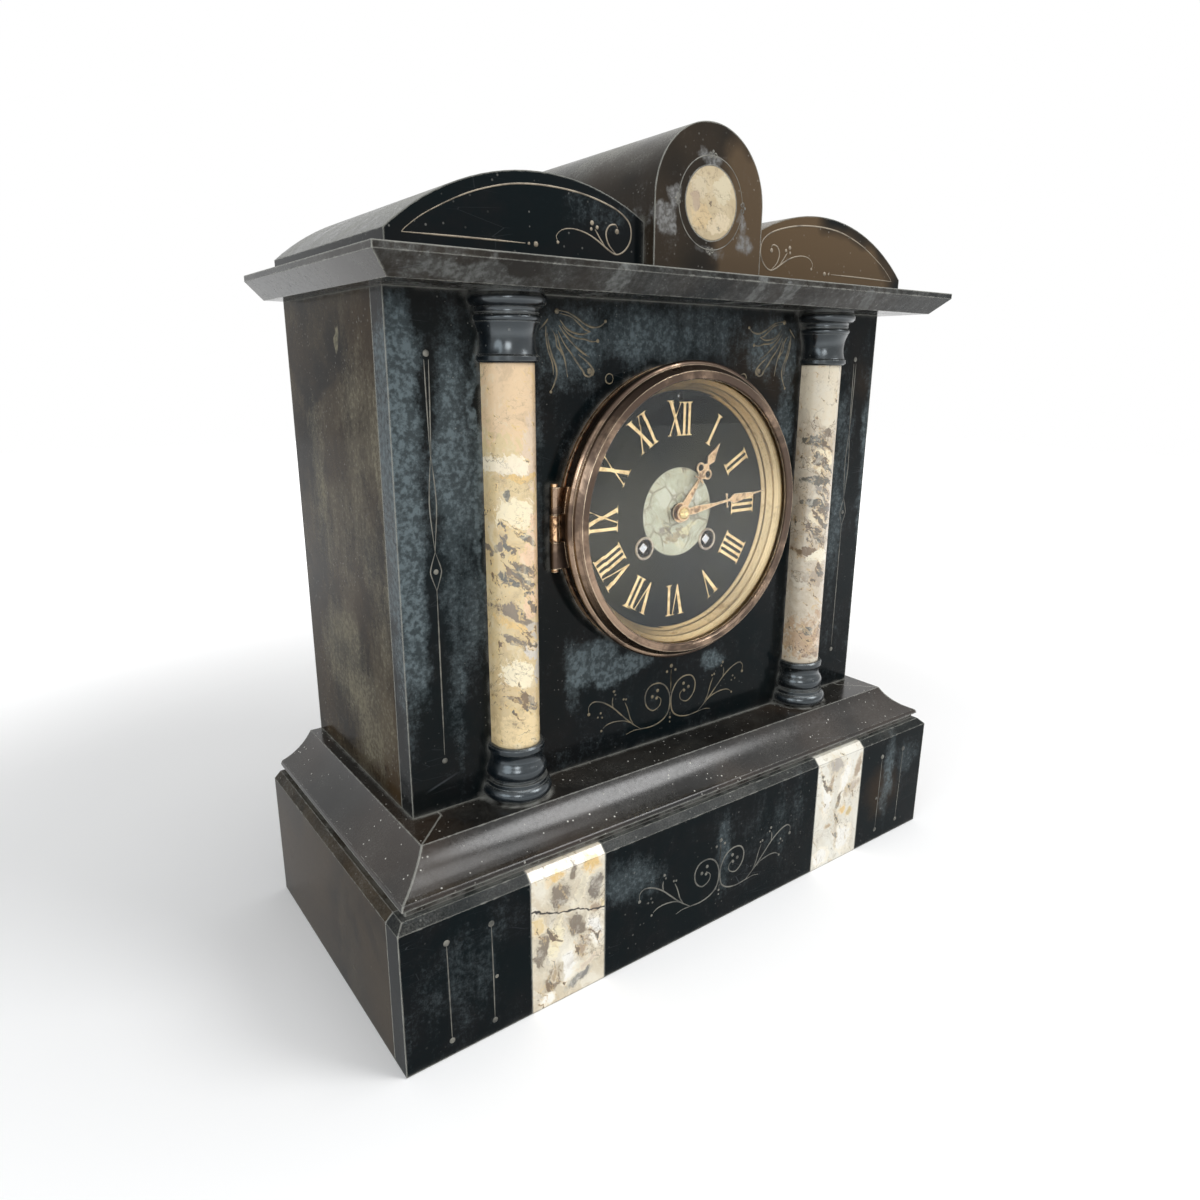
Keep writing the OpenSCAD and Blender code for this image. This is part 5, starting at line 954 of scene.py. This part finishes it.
# %% Scrolls on body and plinth
FACE_Y, PLINTH_Y, SEGMENT_Y, BLOCK_Y = -0.0397, -0.0833, -0.0502, -0.0571    # front faces, in metres
SCROLL_DROP = -84.8    # from the scroll on the body to the one on the plinth
scroll = [
    ([(0, 117.5), (0, 127.2), (0, 131.5)], 0.9),
    ([(-9.8, 118.2), (-6.9, 115.6), (-7.8, 112.0), (-12.5, 110.3), (-17.0, 114.2), (-17.9, 120.1),
      (-14.9, 124.6), (-9.2, 125.4), (-4.2, 122.9), (-1.0, 117.6), (-0.4, 111.6), (-2.0, 106.0), (-6.6, 102.6),
      (-13.2, 101.2), (-20.6, 101.7), (-25.9, 102.0), (-30.6, 101.1)], 0.9),
    ([(-20.6, 101.9), (-24.4, 104.6), (-28.9, 108.3), (-34.6, 113.8), (-40.2, 119.1), (-46.5, 123.2),
      (-52.0, 124.6), (-54.9, 122.7), (-55.0, 119.6)], 0.8),
    ([(-26.9, 106.5), (-31.0, 108.9), (-35.4, 110.0), (-40.1, 110.4), (-43.7, 109.8), (-46.0, 108.4)], 0.7),
    ([(-25.5, 105.7), (-27.9, 109.7), (-29.9, 115.8), (-31.7, 119.7)], 0.7),
    ([(-39.4, 118.3), (-39.9, 121.5), (-39.6, 124.3)], 0.7),
    ([(0, 106.5), (0, 104.6)], 0.7),
]
scroll_beads = [(0, 133.4, 1.15), (-3.0, 130.6, 0.8), (0, 103.3, 0.75), (0, 100.7, 0.55), (-9.3, 121.2, 1.0),
                (-9.9, 116.9, 0.9), (-13.0, 118.4, 1.0), (-54.9, 118.6, 0.95), (-38.9, 127.4, 0.8),
                (-38.0, 125.4, 0.6), (-47.4, 117.4, 0.65), (-49.2, 115.5, 0.55), (-46.5, 114.8, 0.55),
                (-32.5, 121.6, 0.7), (-30.9, 121.2, 0.6), (-46.9, 107.4, 0.7)]
engrave("body_scroll", scroll, scroll_beads, FACE_Y, faded_gilt)
engrave("plinth_scroll", scroll, scroll_beads, PLINTH_Y, chalky, dz=SCROLL_DROP)
print("scrolls:", [c.name for c in cuts])

# %% Lines on pediment, pilasters and plinth
segment_lines = [
    ([(-94.6, 336.8), (-120, 336.7), (-147.6, 336.4)], 0.8),
    ([(-147.6, 336.4), (-145.3, 338.6), (-137.6, 343.9), (-123.7, 350.9), (-112.5, 355.0), (-100.9, 357.8),
      (-89.0, 359.0), (-75.7, 358.9), (-63.6, 357.6), (-52.0, 354.9), (-45.0, 351.9), (-41.2, 348.2),
      (-40.7, 343.0), (-43.4, 338.4), (-47.7, 336.0), (-51.8, 336.9), (-58.7, 340.7), (-64.5, 343.1),
      (-71.1, 344.2), (-76.4, 343.5), (-79.5, 341.1), (-79.2, 338.9)], 0.8),
    ([(-48.7, 336.0), (-52.8, 339.7), (-54.2, 344.0), (-52.4, 347.1), (-49.3, 347.8), (-48.0, 346.5)], 0.8),
    ([(-54.6, 338.6), (-57.5, 341.8), (-60.0, 345.0)], 0.7),
]
segment_beads = [(-48.3, 345.2, 1.1), (-61.6, 347.4, 1.0), (-58.9, 345.9, 0.8), (-62.0, 345.0, 0.7),
                 (-92.9, 336.8, 0.6), (-89.6, 336.8, 1.1), (-78.9, 338.4, 0.7)]
engrave("segment_lines", segment_lines, segment_beads, SEGMENT_Y, brown_line)

PILASTER_X = -135.3
diamond_sides = [[(1.0, 291.5), (0.7, 275), (0.2, 254)], [(0, 254), (1.3, 240), (1.5, 230), (0, 213)],
                 [(0, 213), (2.3, 206), (2.3, 203), (0, 196)]]
pilaster_lines = [([(PILASTER_X + s * x, z) for x, z in side], 0.6) for side in diamond_sides for s in (-1, 1)]
pilaster_lines.append(([(PILASTER_X, z) for z in (196, 160, 119)], 0.7))
pilaster_beads = [(PILASTER_X, z, r) for z, r in ((293.9, 1.4), (204.4, 1.2), (116.2, 1.4))]
engrave("pilaster_lines", pilaster_lines, pilaster_beads, FACE_Y, chalky)

plinth_lines = [([(-159.0, 56.0), (-158.7, 32.6), (-158.4, 8.6)], 0.65),
                ([(-137.7, 56.2), (-137.4, 31.0), (-137.3, 8.2)], 0.65)]
plinth_beads = [(-159.0, 57.2, 1.5), (-158.4, 7.6, 1.4), (-137.7, 57.4, 1.5), (-137.3, 7.2, 1.4),
                (-135.7, 29.6, 0.9)]
engrave("plinth_lines", plinth_lines, plinth_beads, PLINTH_Y, chalky)
print("engraved so far:", [c.name for c in cuts])

# %% Leaves in the upper corners
leaf_lines = [
    ([(-72.7, 312.7), (-67.1, 312.0), (-62.4, 310.0), (-57.7, 307.4), (-53.5, 306.1), (-49.3, 306.7),
      (-46.6, 308.4)], 1.0),
    ([(-71.1, 311.4), (-65.3, 310.3), (-61.3, 307.7), (-57.7, 305.1), (-54.7, 304.2)], 0.9),
    ([(-71.1, 308.7), (-67.7, 305.2), (-63.6, 303.5), (-58.9, 303.0), (-54.7, 304.2)], 0.9),
    ([(-70.0, 306.1), (-66.5, 303.0), (-62.4, 301.3), (-57.7, 300.9), (-54.1, 300.0), (-51.1, 300.1)], 0.9),
    ([(-71.7, 306.5), (-68.3, 302.5), (-64.2, 298.9), (-60.7, 296.2), (-57.7, 294.4), (-55.0, 293.2)], 1.0),
    ([(-72.2, 304.2), (-68.9, 298.8), (-64.8, 294.3), (-61.9, 290.6), (-58.9, 287.3), (-57.7, 285.4),
      (-55.3, 284.7), (-53.4, 286.4), (-54.7, 288.3), (-56.5, 287.8)], 1.0),
    ([(-61.3, 294.3), (-57.7, 292.0), (-55.3, 290.2), (-52.8, 287.3), (-53.4, 284.9)], 0.9),
    ([(-72.8, 302.8), (-71.2, 297.9), (-69.5, 294.2), (-68.3, 290.5), (-67.2, 284.5)], 0.9),
    ([(-75.6, 305.0), (-73.4, 301.5), (-72.9, 297.8), (-71.2, 296.0), (-70.0, 293.8)], 0.8),
    ([(-77.9, 303.2), (-76.8, 297.8), (-75.2, 293.2), (-73.5, 289.6), (-73.0, 285.4), (-74.5, 281.3),
      (-75.9, 278.9)], 1.0),
    ([(-78.4, 305.8), (-78.5, 301.8), (-77.4, 296.0), (-75.2, 290.5), (-74.7, 285.4)], 0.8),
    ([(-81.8, 304.4), (-79.0, 307.1), (-77.3, 309.0)], 0.8),
    ([(-41.6, 283.7), (-42.2, 282.1), (-43.8, 281.5), (-45.4, 282.1), (-46.0, 283.7), (-45.4, 285.3),
      (-43.8, 285.9), (-42.2, 285.3), (-41.6, 283.7)], 0.7),
]
leaf_beads = [(-72.7, 312.3, 1.2), (-50.6, 300.3, 0.9), (-55.0, 287.0, 1.4), (-76.2, 278.2, 0.7),
              (-46.3, 308.9, 0.8)]
engrave("corner_leaves", leaf_lines, leaf_beads, FACE_Y, faded_gilt)
print("corner leaves:", len(leaf_lines), "lines on each side")

# %% Ring round the roundel
RING_R, ROUNDEL_Z = 19.6, 360.5
angles = [k * math.pi / 24 for k in range(49)]
ring = [(RING_R * math.cos(a), ROUNDEL_Z + RING_R * math.sin(a)) for a in angles]
ring_marks, ring_dots = [(ring, 0.55)], []
for quarter in range(4):
    a = math.radians(90 * quarter)
    c = Vector((RING_R * math.cos(a), ROUNDEL_Z + RING_R * math.sin(a)))
    t, n = Vector((-math.sin(a), math.cos(a))), Vector((math.cos(a), math.sin(a)))
    for s in (-1, 1):
        outer = [c + t * s * 2.6, c + t * s * 1.6 + n * 1.1, c + t * s * 0.4 + n * 0.4]
        inner = [c + t * s * 2.2, c + t * s * 1.3 - n * 0.9, c + t * s * 0.3]
        ring_marks += [([tuple(p) for p in outer], 0.6), ([tuple(p) for p in inner], 0.5)]
    ring_dots.append((*(c + n * 1.7), 0.7))
engrave("roundel_ring", ring_marks, ring_dots, BLOCK_Y, chalky, sides=(1,))
print("engraved pieces:", len(cuts))

# %% Check the size
visual_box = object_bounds()
for end, cad, visual in zip(("lowest", "highest"), cad_box, visual_box):
    print(end, "corner moved by, mm:", [round(1000 * (b - a), 2) for a, b in zip(cad, visual)])
